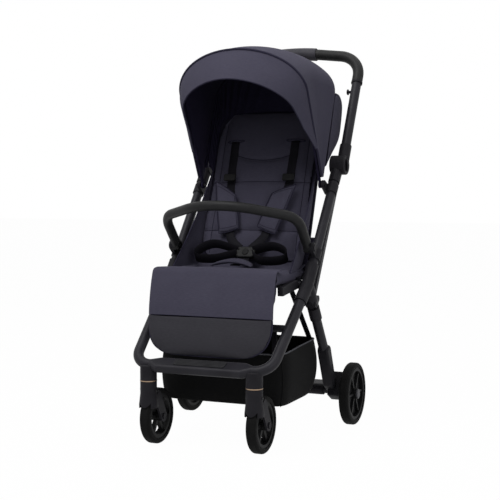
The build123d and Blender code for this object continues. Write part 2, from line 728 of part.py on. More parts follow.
# Seat pan with tabs on the hubs and ears for the backrest
LEGREST_PIN_R = 3.0
KNUCKLE_R = 6.0
PAN_Z = HUB_Z + CROSS_TUBE_R + GAP
EAR_IN, EAR_OUT = SEAT_HALF + 8.0, SEAT_HALF + 14.0
with BuildPart() as seat_pan:
    with BuildSketch(Plane.XY.offset(PAN_Z)):
        with Locations((0, (SEAT_FRONT_Y + SEAT_REAR_Y) / 2)):
            RectangleRounded(2 * SEAT_HALF, SEAT_REAR_Y - SEAT_FRONT_Y, 14)
        with Locations((0, HUB_Y + 7)):
            Rectangle(2 * HUB_IN, 26)
        with Locations((0, RECLINE_Y - 20)):
            Rectangle(2 * EAR_OUT, 34)
        with Locations((0, RECLINE_Y + 6)):
            Rectangle(2 * SEAT_HALF, 40, mode=Mode.SUBTRACT)
    extrude(amount=PAN_T)
    for ear in (EAR_IN, -EAR_OUT):
        plate(
            ear,
            ear + EAR_OUT - EAR_IN,
            [(RECLINE_Y, RECLINE_Z, 9.0), (RECLINE_Y, PAN_Z + 3.5, 3), (RECLINE_Y - 34, PAN_Z + 3.5, 3)],
        )
    disc(-EAR_OUT - 1, EAR_OUT + 1, RECLINE_Y, RECLINE_Z, PIVOT_R + RUN, mode=Mode.SUBTRACT)
    plate(-60, 60, [(LEGREST_Y, LEGREST_Z, KNUCKLE_R), (SEAT_FRONT_Y + 6, PAN_Z + 3.4, 3)])
    disc(-150, 150, LEGREST_Y, LEGREST_Z, LEGREST_PIN_R)
save(seat_pan, "seat_pan")


def pad_section(plane, half, base, edge, crown):
    """Cushion section: flat base, low sides and a crowned top."""
    with BuildSketch(plane) as face:
        with BuildLine():
            Polyline((-half, base + edge), (-half + 3, base), (half - 3, base), (half, base + edge))
            ThreePointArc((half, base + edge), (0, base + edge + crown), (-half, base + edge))
        make_face()
    return face.sketch


def cross_slice(y):
    """Upright plane across the seat at the given Y."""
    return Plane(origin=(0, y, 0), x_dir=(1, 0, 0), z_dir=(0, -1, 0))


# Seat cushion, crowned and rounded down at its front lip: Y, half width, edge height and crown
SEAT_SECTIONS = (
    (-228, 138, 6, 5),
    (-205, 152, 9, 11),
    (-130, 150, 9, 13),
    (-62, 138, 8, 10),
    (-44, 124, 5, 6),
)
with BuildPart() as seat_cushion:
    base = PAN_Z + PAN_T
    loft([pad_section(cross_slice(y), half, base, edge, crown) for y, half, edge, crown in SEAT_SECTIONS])
    disc(-200, 200, LEGREST_Y, LEGREST_Z, 18.0, mode=Mode.SUBTRACT)
save(seat_cushion, "seat_cushion")

# Backrest board, cushion, hood and harness
BACK_PLANE = tilted(RECLINE_Y, RECLINE_Z, sin(radians(BACK_LEAN)), cos(radians(BACK_LEAN)))
BOARD_BACK = -30.0


def back_slice(up):
    """Plane square to the backrest at the given height along it."""
    origin = BACK_PLANE.from_local_coords((0, up, 0))
    return Plane(origin=origin, x_dir=(1, 0, 0), z_dir=-BACK_PLANE.y_dir)


with BuildPart() as backrest_frame:
    with BuildSketch(BACK_PLANE.offset(BOARD_BACK)):
        with Locations((0, (BACK_LEN + 16) / 2)):
            RectangleRounded(2 * BACK_HALF, BACK_LEN - 16, 40)
    extrude(amount=BOARD_T)
    for ear in (EAR_IN - 14, GAP - EAR_IN):
        hinge_point = (ear, RECLINE_Y, RECLINE_Z)
        with BuildSketch(Plane(origin=hinge_point, x_dir=-BACK_PLANE.z_dir, z_dir=(1, 0, 0))):
            Circle(9.0)
            with Locations((-BOARD_BACK - 5, 46), (-BOARD_BACK - 5, 90)):
                Circle(5)
            make_hull()
        extrude(amount=14 - GAP)
    disc(EAR_IN - 4, EAR_OUT + 1.5, RECLINE_Y, RECLINE_Z, PIVOT_R)
    disc(-EAR_OUT - 1.5, -EAR_IN + 4, RECLINE_Y, RECLINE_Z, PIVOT_R)
save(backrest_frame, "backrest_frame")

# Fabric hood that closes the back above the board
HOOD_HALF = 162.0
HOOD_WALL = 4.0
HOOD_TOP = 512.0
HOOD_FOOT = 290.0
HOOD_CREST = (294.0, 858.0)
HOOD_KNEE = (262.0, 764.0)
with BuildPart() as backrest_hood:
    top = BACK_PLANE.from_local_coords((0, HOOD_TOP, BOARD_BACK))
    foot = BACK_PLANE.from_local_coords((0, HOOD_FOOT, BOARD_BACK))
    with BuildSketch(side(-HOOD_HALF)) as profile:
        with BuildLine():
            Polyline((foot.Y, foot.Z), (top.Y, top.Z), HOOD_CREST, HOOD_KNEE, close=True)
        make_face()
        fillet(profile.vertices().sort_by(Axis.X)[-2:], 42)
    extrude(amount=2 * HOOD_HALF)
    open_face = backrest_hood.faces().filter_by(BACK_PLANE)[0]
    rim = backrest_hood.faces().filter_by(Axis.X).edges()
    fillet([edge for edge in rim if edge not in open_face.edges()], 22)
    offset(amount=-HOOD_WALL, openings=backrest_hood.faces().filter_by(BACK_PLANE)[0])
save(backrest_hood, "backrest_hood")

# Shoulder harness on the backrest: straps from slots in the cushion, slanted pads and adjusters
STRAP_W = 24.0
STRAP_T = 2.0
SLOT_UP = 362.0
STRAP_BEND = 232.0
STRAP_LOW = 86.0
STRAP_SLOT_X = 88.0
STRAP_BEND_X = 85.0
STRAP_LOW_X = 52.0
STRAP_FRONT = 3.6
CUSHION_BASE = BOARD_BACK + BOARD_T


def strap_plane(up):
    """Plane across a shoulder strap at the given height along the back."""
    if up > STRAP_BEND:
        share = (up - STRAP_BEND) / (SLOT_UP - STRAP_BEND)
        x = STRAP_BEND_X + (STRAP_SLOT_X - STRAP_BEND_X) * share
    else:
        share = (up - STRAP_LOW) / (STRAP_BEND - STRAP_LOW)
        x = STRAP_LOW_X + (STRAP_BEND_X - STRAP_LOW_X) * share
    origin = BACK_PLANE.from_local_coords((x, up, 0))
    return Plane(origin=origin, x_dir=(1, 0, 0), z_dir=-BACK_PLANE.y_dir)


with BuildPart() as shoulder_straps:
    sections = []
    for up in (STRAP_LOW, STRAP_BEND, SLOT_UP):
        with BuildSketch(strap_plane(up)) as section:
            with Locations((0, STRAP_FRONT + STRAP_T / 2)):
                Rectangle(STRAP_W, STRAP_T)
        sections.append(section.sketch)
    loft(sections, ruled=True)
    with BuildSketch(strap_plane(SLOT_UP)) as tab:
        with Locations((0, (CUSHION_BASE + STRAP_FRONT + STRAP_T) / 2)):
            Rectangle(STRAP_W, STRAP_FRONT + STRAP_T - CUSHION_BASE)
    extrude(tab.sketch, amount=-STRAP_T)
    mirror(about=Plane.YZ)
save(shoulder_straps, "shoulder_straps")

# Height along the back, inset from the board's edge, edge height and crown
BACK_SECTIONS = (
    (24, 40, 6, 7),
    (52, 14, 9, 12),
    (170, 8, 10, 14),
    (300, 10, 10, 13),
    (410, 18, 9, 11),
    (452, 44, 5, 6),
)
with BuildPart() as backrest_cushion:
    loft(
        [
            pad_section(back_slice(up), BACK_HALF - inset, CUSHION_BASE, edge, crown)
            for up, inset, edge, crown in BACK_SECTIONS
        ]
    )
    add(shoulder_straps.part, mode=Mode.SUBTRACT)
save(backrest_cushion, "backrest_cushion")

PAD_HALF = 32.0
PAD_FROM, PAD_TO = 94.0, 230.0
PAD_SECTIONS = (
    (PAD_FROM, PAD_HALF - 8, 4, 3),
    (PAD_FROM + 14, PAD_HALF, 6, 5),
    (PAD_TO - 14, PAD_HALF, 6, 5),
    (PAD_TO, PAD_HALF - 8, 4, 3),
)
with BuildPart() as shoulder_pads:
    base = STRAP_FRONT + STRAP_T
    loft([pad_section(strap_plane(up), half, base, edge, crown) for up, half, edge, crown in PAD_SECTIONS])
    mirror(about=Plane.YZ)
save(shoulder_pads, "shoulder_pads")

ADJUSTER_UP = 252.0
with BuildPart() as strap_adjusters:
    adjuster = strap_plane(ADJUSTER_UP)
    with BuildSketch(Plane(origin=adjuster.origin, x_dir=(1, 0, 0), z_dir=BACK_PLANE.z_dir)):
        RectangleRounded(STRAP_W + 10, 20, 4)
    extrude(amount=STRAP_FRONT + STRAP_T + 5)
    fillet(strap_adjusters.faces().sort_by(Axis.Y)[0].edges(), 1.5)
    split(bisect_by=BACK_PLANE.offset(STRAP_FRONT + STRAP_T), keep=Keep.TOP)
    mirror(about=Plane.YZ)
save(strap_adjusters, "strap_adjusters")

# Cloth sides between the seat and the backrest
WING_FRONT = Vector(164.0, -138.0, 424.0)
WING_X = 151.5
WING_T = 1.6
WING_FOOT, WING_TOP = 14.0, 212.0
WING_OUT = CUSHION_BASE + GAP
with BuildPart() as seat_wings:
    foot, top = (BACK_PLANE.from_local_coords((WING_X, up, WING_OUT)) for up in (WING_FOOT, WING_TOP))
    base, rise = foot - WING_FRONT, top - WING_FRONT
    wing_plane = Plane(origin=WING_FRONT, x_dir=base, z_dir=base.cross(rise))
    with BuildSketch(wing_plane) as wing:
        with BuildLine():
            corners = [wing_plane.to_local_coords(point) for point in (WING_FRONT, foot, top)]
            Polyline(*[(corner.X, corner.Y) for corner in corners], close=True)
        make_face()
        fillet(wing.vertices(), 6)
    extrude(wing.sketch, amount=WING_T, dir=(-1, 0, 0))
    mirror(about=Plane.YZ)
    for neighbour in (backrest_frame, backrest_cushion, seat_pan, seat_cushion):
        add(neighbour.part, mode=Mode.SUBTRACT)
save(seat_wings, "seat_wings")

# Crotch buckle with its push button, and the lap webbing
BUCKLE_Y, BUCKLE_Z = -38.0, 469.0
BUCKLE_T = 14.0
BUCKLE_LEAN = 30.0
BUCKLE_PLANE = tilted(BUCKLE_Y, BUCKLE_Z, sin(radians(BUCKLE_LEAN)), cos(radians(BUCKLE_LEAN)))
PRESS_R = 9.0
PRESS_TRAVEL = 2.0
with BuildPart() as harness_buckle:
    with BuildSketch(BUCKLE_PLANE.offset(-BUCKLE_T)):
        RectangleRounded(56, 34, 13)
    extrude(amount=BUCKLE_T)
    fillet(harness_buckle.faces().sort_by(Axis.Y)[0].edges(), 5.0)
    with BuildSketch(BUCKLE_PLANE.offset(-7)):
        Circle(PRESS_R + GAP)
    extrude(amount=20, mode=Mode.SUBTRACT)
save(harness_buckle, "harness_buckle")

with BuildPart() as buckle_button:
    with BuildSketch(BUCKLE_PLANE.offset(PRESS_TRAVEL + GAP - 7)):
        Circle(PRESS_R)
    extrude(amount=6.2)
    fillet(buckle_button.faces().sort_by(Axis.Y)[0].edges(), 1.0)
save(buckle_button, "buckle_button")

with BuildPart() as lap_straps:
    low = BUCKLE_PLANE.from_local_coords((0, -16, -BUCKLE_T / 2))
    crotch = Plane(origin=low, x_dir=(1, 0, 0), z_dir=(0, -1, -1))
    with BuildSketch(crotch):
        Rectangle(STRAP_W + 4, 5)
    extrude(amount=44)
    for x in (1, -1):
        inner = BUCKLE_PLANE.from_local_coords((x * 26, 0, -BUCKLE_T / 2))
        outer = Vector(x * 128, -64, 447)
        run = outer - inner
        with BuildSketch(Plane(origin=inner, x_dir=run.cross(Vector(0, 0, 1)), z_dir=run)):
            Rectangle(STRAP_T, STRAP_W)
        extrude(amount=run.length)
    add(seat_cushion.part, mode=Mode.SUBTRACT)
    add(harness_buckle.part, mode=Mode.SUBTRACT)
save(lap_straps, "lap_straps")

# Leg rest: hinged board, padded upper face and a lower wipe-clean cover
LEGREST_UP = (sin(radians(LEGREST_LEAN)), cos(radians(LEGREST_LEAN)))
LEGREST_PLANE = tilted(LEGREST_Y, LEGREST_Z, *LEGREST_UP)


def legrest_slice(down):
    origin = LEGREST_PLANE.from_local_coords((0, -down, 0))
    return Plane(origin=origin, x_dir=(1, 0, 0), z_dir=-LEGREST_PLANE.y_dir)


with BuildPart() as legrest_board:
    with BuildSketch(LEGREST_PLANE.offset(-LEGREST_T / 2)):
        with Locations((0, -(LEGREST_LEN + 9) / 2)):
            RectangleRounded(2 * (LEGREST_HALF - 10), LEGREST_LEN - 9, 60)
    extrude(amount=LEGREST_T)
    for x in (62, -148):
        low = LEGREST_PLANE.from_local_coords((0, -14, 0))
        plate(x, x + 86, [(LEGREST_Y, LEGREST_Z, KNUCKLE_R), (low.Y, low.Z, LEGREST_T / 2)])
    disc(-151, 151, LEGREST_Y, LEGREST_Z, LEGREST_PIN_R + RUN, mode=Mode.SUBTRACT)
save(legrest_board, "legrest_board")

with BuildPart() as legrest_pad:
    loft(
        [
            pad_section(legrest_slice(down), half, LEGREST_T / 2, edge, crown)
            for down, half, edge, crown in (
                (3, LEGREST_HALF + 2, 3, 3),
                (20, LEGREST_HALF + 3, 5, 6),
                (74, LEGREST_HALF, 5, 6),
                (LEGREST_SPLIT, LEGREST_HALF - 1, 4, 4),
            )
        ]
    )
    disc(-200, 200, LEGREST_Y, LEGREST_Z, KNUCKLE_R + GAP, mode=Mode.SUBTRACT)
    add(legrest_board.part, mode=Mode.SUBTRACT)
save(legrest_pad, "legrest_pad")

with BuildPart() as legrest_cover:
    loft(
        [
            pad_section(legrest_slice(down), half, LEGREST_T / 2, edge, crown)
            for down, half, edge, crown in (
                (LEGREST_SPLIT + 0.3, LEGREST_HALF - 1, 4, 4),
                (128, LEGREST_HALF - 3, 5, 5),
                (154, LEGREST_HALF - 13, 4, 5),
                (172, LEGREST_HALF - 33, 3, 4),
                (LEGREST_LEN + 4, LEGREST_HALF - 68, 2, 2),
            )
        ]
    )
save(legrest_cover, "legrest_cover")

# Canopy: a dome swung about the side pivots, a front bow, a visor and clips


def canopy_plane(forward):
    return tilted(CANOPY_Y, CANOPY_Z, -sin(radians(forward)), cos(radians(forward)))


def arch_face(plane, outer, inner, low=20.0):
    """Arched band between two insets from the outer canopy line."""
    with BuildSketch(plane) as face:
        for inset, mode in ((outer, Mode.ADD), (inner, Mode.SUBTRACT)):
            half, rise = CANOPY_HALF - inset, CANOPY_R - CANOPY_SIDE - inset
            with BuildLine():
                Line((half, low), (half, CANOPY_SIDE))
                EllipticalCenterArc((0, CANOPY_SIDE), half, rise, start_angle=0, arc_size=180)
                Line((-half, CANOPY_SIDE), (-half, low))
                Line((-half, low), (half, low))
            make_face(mode=mode)
    return face.sketch


CANOPY_AXIS = Axis((0, CANOPY_Y, CANOPY_Z), (1, 0, 0))
with BuildPart() as canopy_panel:
    revolve(
        arch_face(canopy_plane(CANOPY_REAR), 0, CANOPY_WALL),
        axis=CANOPY_AXIS,
        revolution_arc=CANOPY_FRONT - CANOPY_REAR,
    )
save(canopy_panel, "canopy_panel")

BOW_INSET = CANOPY_WALL + GAP
with BuildPart() as canopy_rear_bow:
    extrude(
        arch_face(canopy_plane(CANOPY_REAR + 1.5), BOW_INSET, BOW_INSET + BOW_T, low=52.0),
        amount=BOW_W / 2,
        both=True,
    )
save(canopy_rear_bow, "canopy_rear_bow")

BOW_IN = CANOPY_HALF - BOW_INSET - BOW_T
with BuildPart() as canopy_front_bow:
    extrude(
        arch_face(canopy_plane(CANOPY_FRONT - 0.8), BOW_INSET, BOW_INSET + BOW_T, low=0.0),
        amount=BOW_W / 2,
        both=True,
    )
    disc(BOW_IN, BOW_IN + BOW_T, CANOPY_Y, CANOPY_Z, 10.0)
    disc(-BOW_IN - BOW_T, -BOW_IN, CANOPY_Y, CANOPY_Z, 10.0)
    disc(-200, 200, CANOPY_Y, CANOPY_Z, PIVOT_R + RUN, mode=Mode.SUBTRACT)
save(canopy_front_bow, "canopy_front_bow")

with BuildPart() as canopy_visor:
    revolve(
        arch_face(canopy_plane(CANOPY_FRONT + 0.3), 0, CANOPY_WALL, low=60.0),
        axis=CANOPY_AXIS,
        revolution_arc=24.0,
    )
    root = canopy_plane(CANOPY_FRONT + 0.3).from_local_coords((0, VISOR_ROOT_R, 0))
    tip = canopy_plane(VISOR_TIP).from_local_coords((0, VISOR_TIP_R, 0))
    edge = tip - root
    split(bisect_by=tilted(root.Y, root.Z, *unit(edge.Y, edge.Z)), keep=Keep.BOTTOM)
save(canopy_visor, "canopy_visor")

CLIP_AT = MAIN_LEN - 84.0
CLIP_OUT = FRAME_X - SOCKET_R + 4.5
with BuildPart() as canopy_clips:
    clip_y, clip_z = along(HUB_Y, HUB_Z, MAIN_DIR, CLIP_AT)
    plate(
        CANOPY_HALF + 1,
        CLIP_OUT,
        [(CANOPY_Y, CANOPY_Z, 11.0), (clip_y, clip_z, 13.0)],
    )
    bar(frame_point(MAIN_DIR, CLIP_AT - 14), frame_point(MAIN_DIR, CLIP_AT + 14), SOCKET_R)
    disc(BOW_IN - 2, CANOPY_HALF + 3, CANOPY_Y, CANOPY_Z, PIVOT_R)
    bar(
        frame_point(MAIN_DIR, MAIN_START),
        frame_point(MAIN_DIR, MAIN_LEN),
        TUBE_R,
        mode=Mode.SUBTRACT,
    )
    mirror(about=Plane.YZ)
save(canopy_clips, "canopy_clips")

# Bumper bar, its sockets on the main tubes and the release buttons
SOCKET_PLATE_IN = FRAME_X - 1.6
BOSS_IN = BUMPER_X - 8.0
BOSS_OUT = SOCKET_PLATE_IN - GAP
BOSS_R = 13.5
RELEASE_R = 7.0
RELEASE_TRAVEL = 3.0
RELEASE_SPARE = 2.0
PIN_END = BUMPER_X + 0.5
bumper_arm = (BUMPER_Y - HUB_Y) * MAIN_DIR[0] + (BUMPER_Z - HUB_Z) * MAIN_DIR[1]
with BuildPart() as bumper_sockets:
    clamp_y, clamp_z = along(HUB_Y, HUB_Z, MAIN_DIR, bumper_arm)
    plate(
        SOCKET_PLATE_IN,
        SOCKET_PLATE_IN + 10,
        [(BUMPER_Y, BUMPER_Z, 13.0), (clamp_y, clamp_z, 14.0)],
    )
    bar(frame_point(MAIN_DIR, bumper_arm - 15), frame_point(MAIN_DIR, bumper_arm + 15), SOCKET_R)
    disc(PIN_END, SOCKET_PLATE_IN + 1, BUMPER_Y, BUMPER_Z, PIVOT_R)
    bar(
        frame_point(MAIN_DIR, MAIN_START),
        frame_point(MAIN_DIR, MAIN_LEN),
        TUBE_R,
        mode=Mode.SUBTRACT,
    )
    mirror(about=Plane.YZ)
save(bumper_sockets, "bumper_sockets")

BUMPER_ROUTE = [
    (BUMPER_X, BUMPER_Y, BUMPER_Z),
    (BUMPER_X, BUMPER_SHOULDER_Y, BUMPER_SHOULDER_Z),
    (0.0, BUMPER_FRONT_Y, BUMPER_FRONT_Z),
    (-BUMPER_X, BUMPER_SHOULDER_Y, BUMPER_SHOULDER_Z),
    (-BUMPER_X, BUMPER_Y, BUMPER_Z),
]
with BuildPart() as bumper_bar:
    bent(BUMPER_ROUTE, BUMPER_BENDS, BUMPER_R)
    for x in (BOSS_IN, -BOSS_OUT):
        disc(x, x + BOSS_OUT - BOSS_IN, BUMPER_Y, BUMPER_Z, BOSS_R)
    bumper_cuts = (
        (BOSS_OUT, FRAME_X + 40, BUMPER_R + 9),
        (BOSS_IN, BOSS_IN - 40, BUMPER_R + 9),
        (BOSS_IN, PIN_END, RELEASE_R + GAP),
        (PIN_END, BOSS_OUT, PIVOT_R + RUN),
    )
    for sign in (1, -1):
        for start, end, radius in bumper_cuts:
            disc(sign * start, sign * end, BUMPER_Y, BUMPER_Z, radius, mode=Mode.SUBTRACT)
save(bumper_bar, "bumper_bar")

for sign, hand in ((-1, "left"), (1, "right")):
    with BuildPart() as bumper_button:
        start, end = BOSS_IN - RELEASE_TRAVEL, PIN_END - RELEASE_TRAVEL - RELEASE_SPARE
        disc(sign * start, sign * end, BUMPER_Y, BUMPER_Z, RELEASE_R)
    save(bumper_button, f"bumper_button_{hand}")

# Storage basket under the seat, with its hanger straps
with BuildPart() as basket:
    with BuildSketch(side(-BASKET_HALF)):
        with BuildLine():
            Polyline(
                (BASKET_FRONT, BASKET_RIM),
                (BASKET_FRONT + 6, BASKET_FLOOR),
                (BASKET_REAR - 42, BASKET_FLOOR),
                (BASKET_REAR - 4, BASKET_FLOOR + 40),
                (BASKET_REAR, BASKET_RIM),
                close=True,
            )
        make_face()
    extrude(amount=2 * BASKET_HALF)
    fillet(basket.edges().filter_by(Axis.X).group_by(Axis.Z)[0], 10)
    fillet(basket.faces().filter_by(Axis.X).edges().group_by(Axis.Z)[0], 8)
    offset(amount=-BASKET_WALL, openings=basket.faces().sort_by(Axis.Z)[-1])
save(basket, "basket")

HANGER_W, HANGER_T = 14.0, 1.6
with BuildPart() as basket_straps:
    for x in (150.0, -150.0):
        for start, end in (
            ((BRACE_Y, BRACE_Z - BRACE_R), (BASKET_FRONT - 1.6, BASKET_RIM - 14)),
            ((HUB_Y, HUB_Z - CROSS_TUBE_R), (BASKET_REAR + 1.6, BASKET_RIM - 14)),
        ):
            run = Vector(0, end[0] - start[0], end[1] - start[1])
            with BuildSketch(Plane(origin=(x, *start), x_dir=(1, 0, 0), z_dir=run)):
                Rectangle(HANGER_W, HANGER_T)
            extrude(amount=run.length)
    add(cross_tubes.part, mode=Mode.SUBTRACT)
    add(basket.part, mode=Mode.SUBTRACT)
save(basket_straps, "basket_straps")
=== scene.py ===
"""Looks of a compact folding baby stroller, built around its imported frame, in metres."""
import json
from math import atan2, cos, hypot, pi, radians, sin

import bmesh
import bpy
import numpy as np
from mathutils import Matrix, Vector
from mathutils.bvhtree import BVHTree


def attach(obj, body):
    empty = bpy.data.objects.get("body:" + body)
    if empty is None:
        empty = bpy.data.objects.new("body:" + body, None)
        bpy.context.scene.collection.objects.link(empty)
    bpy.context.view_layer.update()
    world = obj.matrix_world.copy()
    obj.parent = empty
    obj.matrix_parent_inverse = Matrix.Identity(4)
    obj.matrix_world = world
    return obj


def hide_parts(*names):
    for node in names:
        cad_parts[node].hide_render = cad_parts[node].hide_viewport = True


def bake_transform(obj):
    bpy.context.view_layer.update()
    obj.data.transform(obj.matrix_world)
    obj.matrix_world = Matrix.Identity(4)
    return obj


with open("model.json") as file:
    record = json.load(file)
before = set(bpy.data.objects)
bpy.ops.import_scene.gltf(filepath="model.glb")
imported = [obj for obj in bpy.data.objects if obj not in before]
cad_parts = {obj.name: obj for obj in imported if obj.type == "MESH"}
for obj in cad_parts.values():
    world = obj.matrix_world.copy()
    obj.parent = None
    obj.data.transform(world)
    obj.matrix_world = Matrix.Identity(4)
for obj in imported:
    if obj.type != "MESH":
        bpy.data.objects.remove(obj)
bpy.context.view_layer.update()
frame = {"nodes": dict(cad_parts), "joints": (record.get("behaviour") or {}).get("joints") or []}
NODES = frame["nodes"]
JOINTS = {joint["name"]: joint for joint in frame["joints"]}
MM = 0.001
HANDS = ((-1, "left"), (1, "right"))


# Places that the frame gives


def pivot(joint):
    return Vector(JOINTS[joint]["pos_m"])


def leaning(origin, lean):
    """Origin, upward and forward directions of a panel that leans back by lean degrees."""
    turn = radians(lean)
    return origin, Vector((0, sin(turn), cos(turn))), Vector((0, -cos(turn), sin(turn)))


def on_panel(panel, x, up, out=0.0):
    """Point on a panel, from millimetres across, up and out of it."""
    origin, rise, front = panel
    return origin + (Vector((x, 0, 0)) + rise * up + front * out) * MM


BACK_LEAN, LEGREST_LEAN = 20, 14
BACK = leaning(pivot("recline"), BACK_LEAN)
LEGREST = leaning(pivot("legrest"), LEGREST_LEAN)
SEAT = (Vector((0, -0.13, 0.4114)), Vector((0, 1, 0)), Vector((0, 0, 1)))
CANOPY = pivot("canopy")


# Materials


def linear(code):
    """sRGB hex code to linear colour."""
    parts = [int(code[k : k + 2], 16) / 255 for k in (0, 2, 4)]
    return (*(p / 12.92 if p <= 0.04045 else ((p + 0.055) / 1.055) ** 2.4 for p in parts), 1.0)


def add(tree, kind, sockets=None, **settings):
    """Add a node, or take one that is there, with its settings, and link or set its inputs."""
    made = tree.nodes.new(kind) if isinstance(kind, str) else kind
    for name, value in settings.items():
        setattr(made, name, value)
    for name, value in (sockets or {}).items():
        if isinstance(value, bpy.types.NodeSocket):
            tree.links.new(value, made.inputs[name])
        else:
            made.inputs[name].default_value = value
    return made


def blank(name):
    """New material, with its tree and its Principled shader."""
    material = bpy.data.materials.new(name)
    material.use_nodes = True
    return material, material.node_tree, material.node_tree.nodes["Principled BSDF"]


def bands(period):
    """Wave texture scale for a period in metres: the texture repeats each pi / 10 units."""
    return pi / 10 / period


# Sockets of a Mix node that mixes colours
MIX_LOW, MIX_HIGH, MIX_COLOUR = 6, 7, 2
# Most values of a noise texture lie between these
NOISE_SPAN = {"From Min": 0.3, "From Max": 0.7}
GLOSS_SWING = 0.06


def coat(tree, shader, tint, gloss, relief, sockets):
    """Link a tint (share, low, high), a gloss and a relief to the shader, and set its other sockets."""
    share, low, high = tint
    mixed = {"Factor": share, MIX_LOW: linear(low), MIX_HIGH: linear(high)}
    linked = {
        "Base Color": add(tree, "ShaderNodeMix", mixed, data_type="RGBA").outputs[MIX_COLOUR],
        "Roughness": add(tree, "ShaderNodeMapRange", gloss).outputs[0],
        "Normal": add(tree, "ShaderNodeBump", relief).outputs[0],
    }
    add(tree, shader, {**linked, **sockets})


def hard_surface(
    name, low, high, rough, cloud=40, grain=1.2, depth=0.05, metallic=0.0, detail=3.0, gleam=0.1
):
    """Rigid finish: a colour that drifts over cloud mm, and a skin whose grain mm pattern moves its gloss."""
    material, tree, shader = blank(name)
    place = add(tree, "ShaderNodeTexCoord").outputs["Object"]
    drift = add(tree, "ShaderNodeTexNoise", {"Vector": place, "Scale": 1 / (cloud * MM), "Detail": 2.0})
    skin = add(tree, "ShaderNodeTexNoise", {"Vector": place, "Scale": 1 / (grain * MM), "Detail": detail})
    share = add(tree, "ShaderNodeMapRange", {"Value": drift.outputs[0], **NOISE_SPAN}).outputs[0]
    ends = {"To Min": rough - GLOSS_SWING, "To Max": rough + GLOSS_SWING}
    gloss = {"Value": skin.outputs[0], **NOISE_SPAN, **ends}
    relief = {"Height": skin.outputs[0], "Distance": depth * MM}
    rest = {"Metallic": metallic, "Specular IOR Level": gleam}
    coat(tree, shader, (share, low, high), gloss, relief, rest)
    return material


def leatherette(name, low, high):
    """Polyurethane leatherette over foam: matt, with a pebbled grain pressed into it."""
    material, tree, shader = blank(name)
    place = add(tree, "ShaderNodeTexCoord").outputs["Object"]
    pebbles = {"Vector": place, "Scale": 1 / (1.8 * MM)}
    pebble = add(tree, "ShaderNodeTexVoronoi", pebbles, feature="DISTANCE_TO_EDGE").outputs["Distance"]
    drift = add(tree, "ShaderNodeTexNoise", {"Vector": place, "Scale": 1 / (18 * MM), "Detail": 2.0})
    gloss = {"Value": drift.outputs[0], **NOISE_SPAN, "To Min": 0.42, "To Max": 0.54}
    relief = {"Height": pebble, "Distance": 0.25 * MM, "Strength": 0.5}
    coat(tree, shader, (drift.outputs[0], low, high), gloss, relief, {"Specular IOR Level": 0.12})
    return material


def woven(name, low, high, thread=1.5, sheen=0.06, rough=0.84, depth=0.22):
    """Plain woven polyester: warp and weft ribs, with flecks of lighter and darker yarn along the weft.

    The real threads are about 0.4 mm; they are drawn coarser, so that the weave shows."""
    material, tree, shader = blank(name)
    place = add(tree, "ShaderNodeUVMap", uv_map="cloth").outputs["UV"]
    ribs = {"Vector": place, "Scale": bands(thread * MM), "Distortion": 0.6, "Detail": 1.0}
    warp = add(tree, "ShaderNodeTexWave", ribs, bands_direction="X").outputs[1]
    weft = add(tree, "ShaderNodeTexWave", ribs, bands_direction="Y").outputs[1]
    weave = add(tree, "ShaderNodeMath", {0: warp, 1: weft}, operation="MULTIPLY").outputs[0]
    yarn = add(tree, "ShaderNodeMapping", {"Vector": place, "Scale": (0.22, 1.0, 1.0)}).outputs[0]
    fleck = add(tree, "ShaderNodeTexNoise", {"Vector": yarn, "Scale": 1 / (2.2 * MM), "Detail": 3.0})
    drift = add(tree, "ShaderNodeTexNoise", {"Vector": place, "Scale": 1 / (70 * MM), "Detail": 2.0})
    tone = add(tree, "ShaderNodeMix", {"Factor": 0.35, 2: fleck.outputs[0], 3: drift.outputs[0]}).outputs[0]
    share = add(tree, "ShaderNodeMapRange", {"Value": tone, **NOISE_SPAN}).outputs[0]
    gloss = {"Value": weave, "To Min": rough - GLOSS_SWING, "To Max": rough + GLOSS_SWING}
    relief = {"Height": weave, "Distance": depth * MM, "Strength": 0.6}
    nap = {"Sheen Weight": sheen, "Sheen Roughness": 0.45, "Specular IOR Level": 0.05}
    coat(tree, shader, (share, low, high), gloss, relief, nap)
    return material


def webbing():
    """Polyester harness webbing: black, with ribs across the strap and a twill between them."""
    material, tree, shader = blank("polyester_webbing")
    place = add(tree, "ShaderNodeUVMap", uv_map="cloth").outputs["UV"]
    rib = {"Vector": place, "Scale": bands(1.8 * MM)}
    twill = {"Vector": place, "Scale": bands(2.6 * MM)}
    ribs = add(tree, "ShaderNodeTexWave", rib, bands_direction="X").outputs[1]
    slant = add(tree, "ShaderNodeTexWave", twill, bands_direction="DIAGONAL").outputs[1]
    height = add(tree, "ShaderNodeMath", {0: ribs, 1: slant}, operation="ADD").outputs[0]
    fleck = add(tree, "ShaderNodeTexNoise", {"Vector": place, "Scale": 1 / (3 * MM), "Detail": 2.0})
    gloss = {"Value": slant, "To Min": 0.62, "To Max": 0.74}
    relief = {"Height": height, "Distance": 0.18 * MM, "Strength": 0.7}
    coat(tree, shader, (fleck.outputs[0], "0c0b0f", "19181e"), gloss, relief, {"Specular IOR Level": 0.08})
    return material


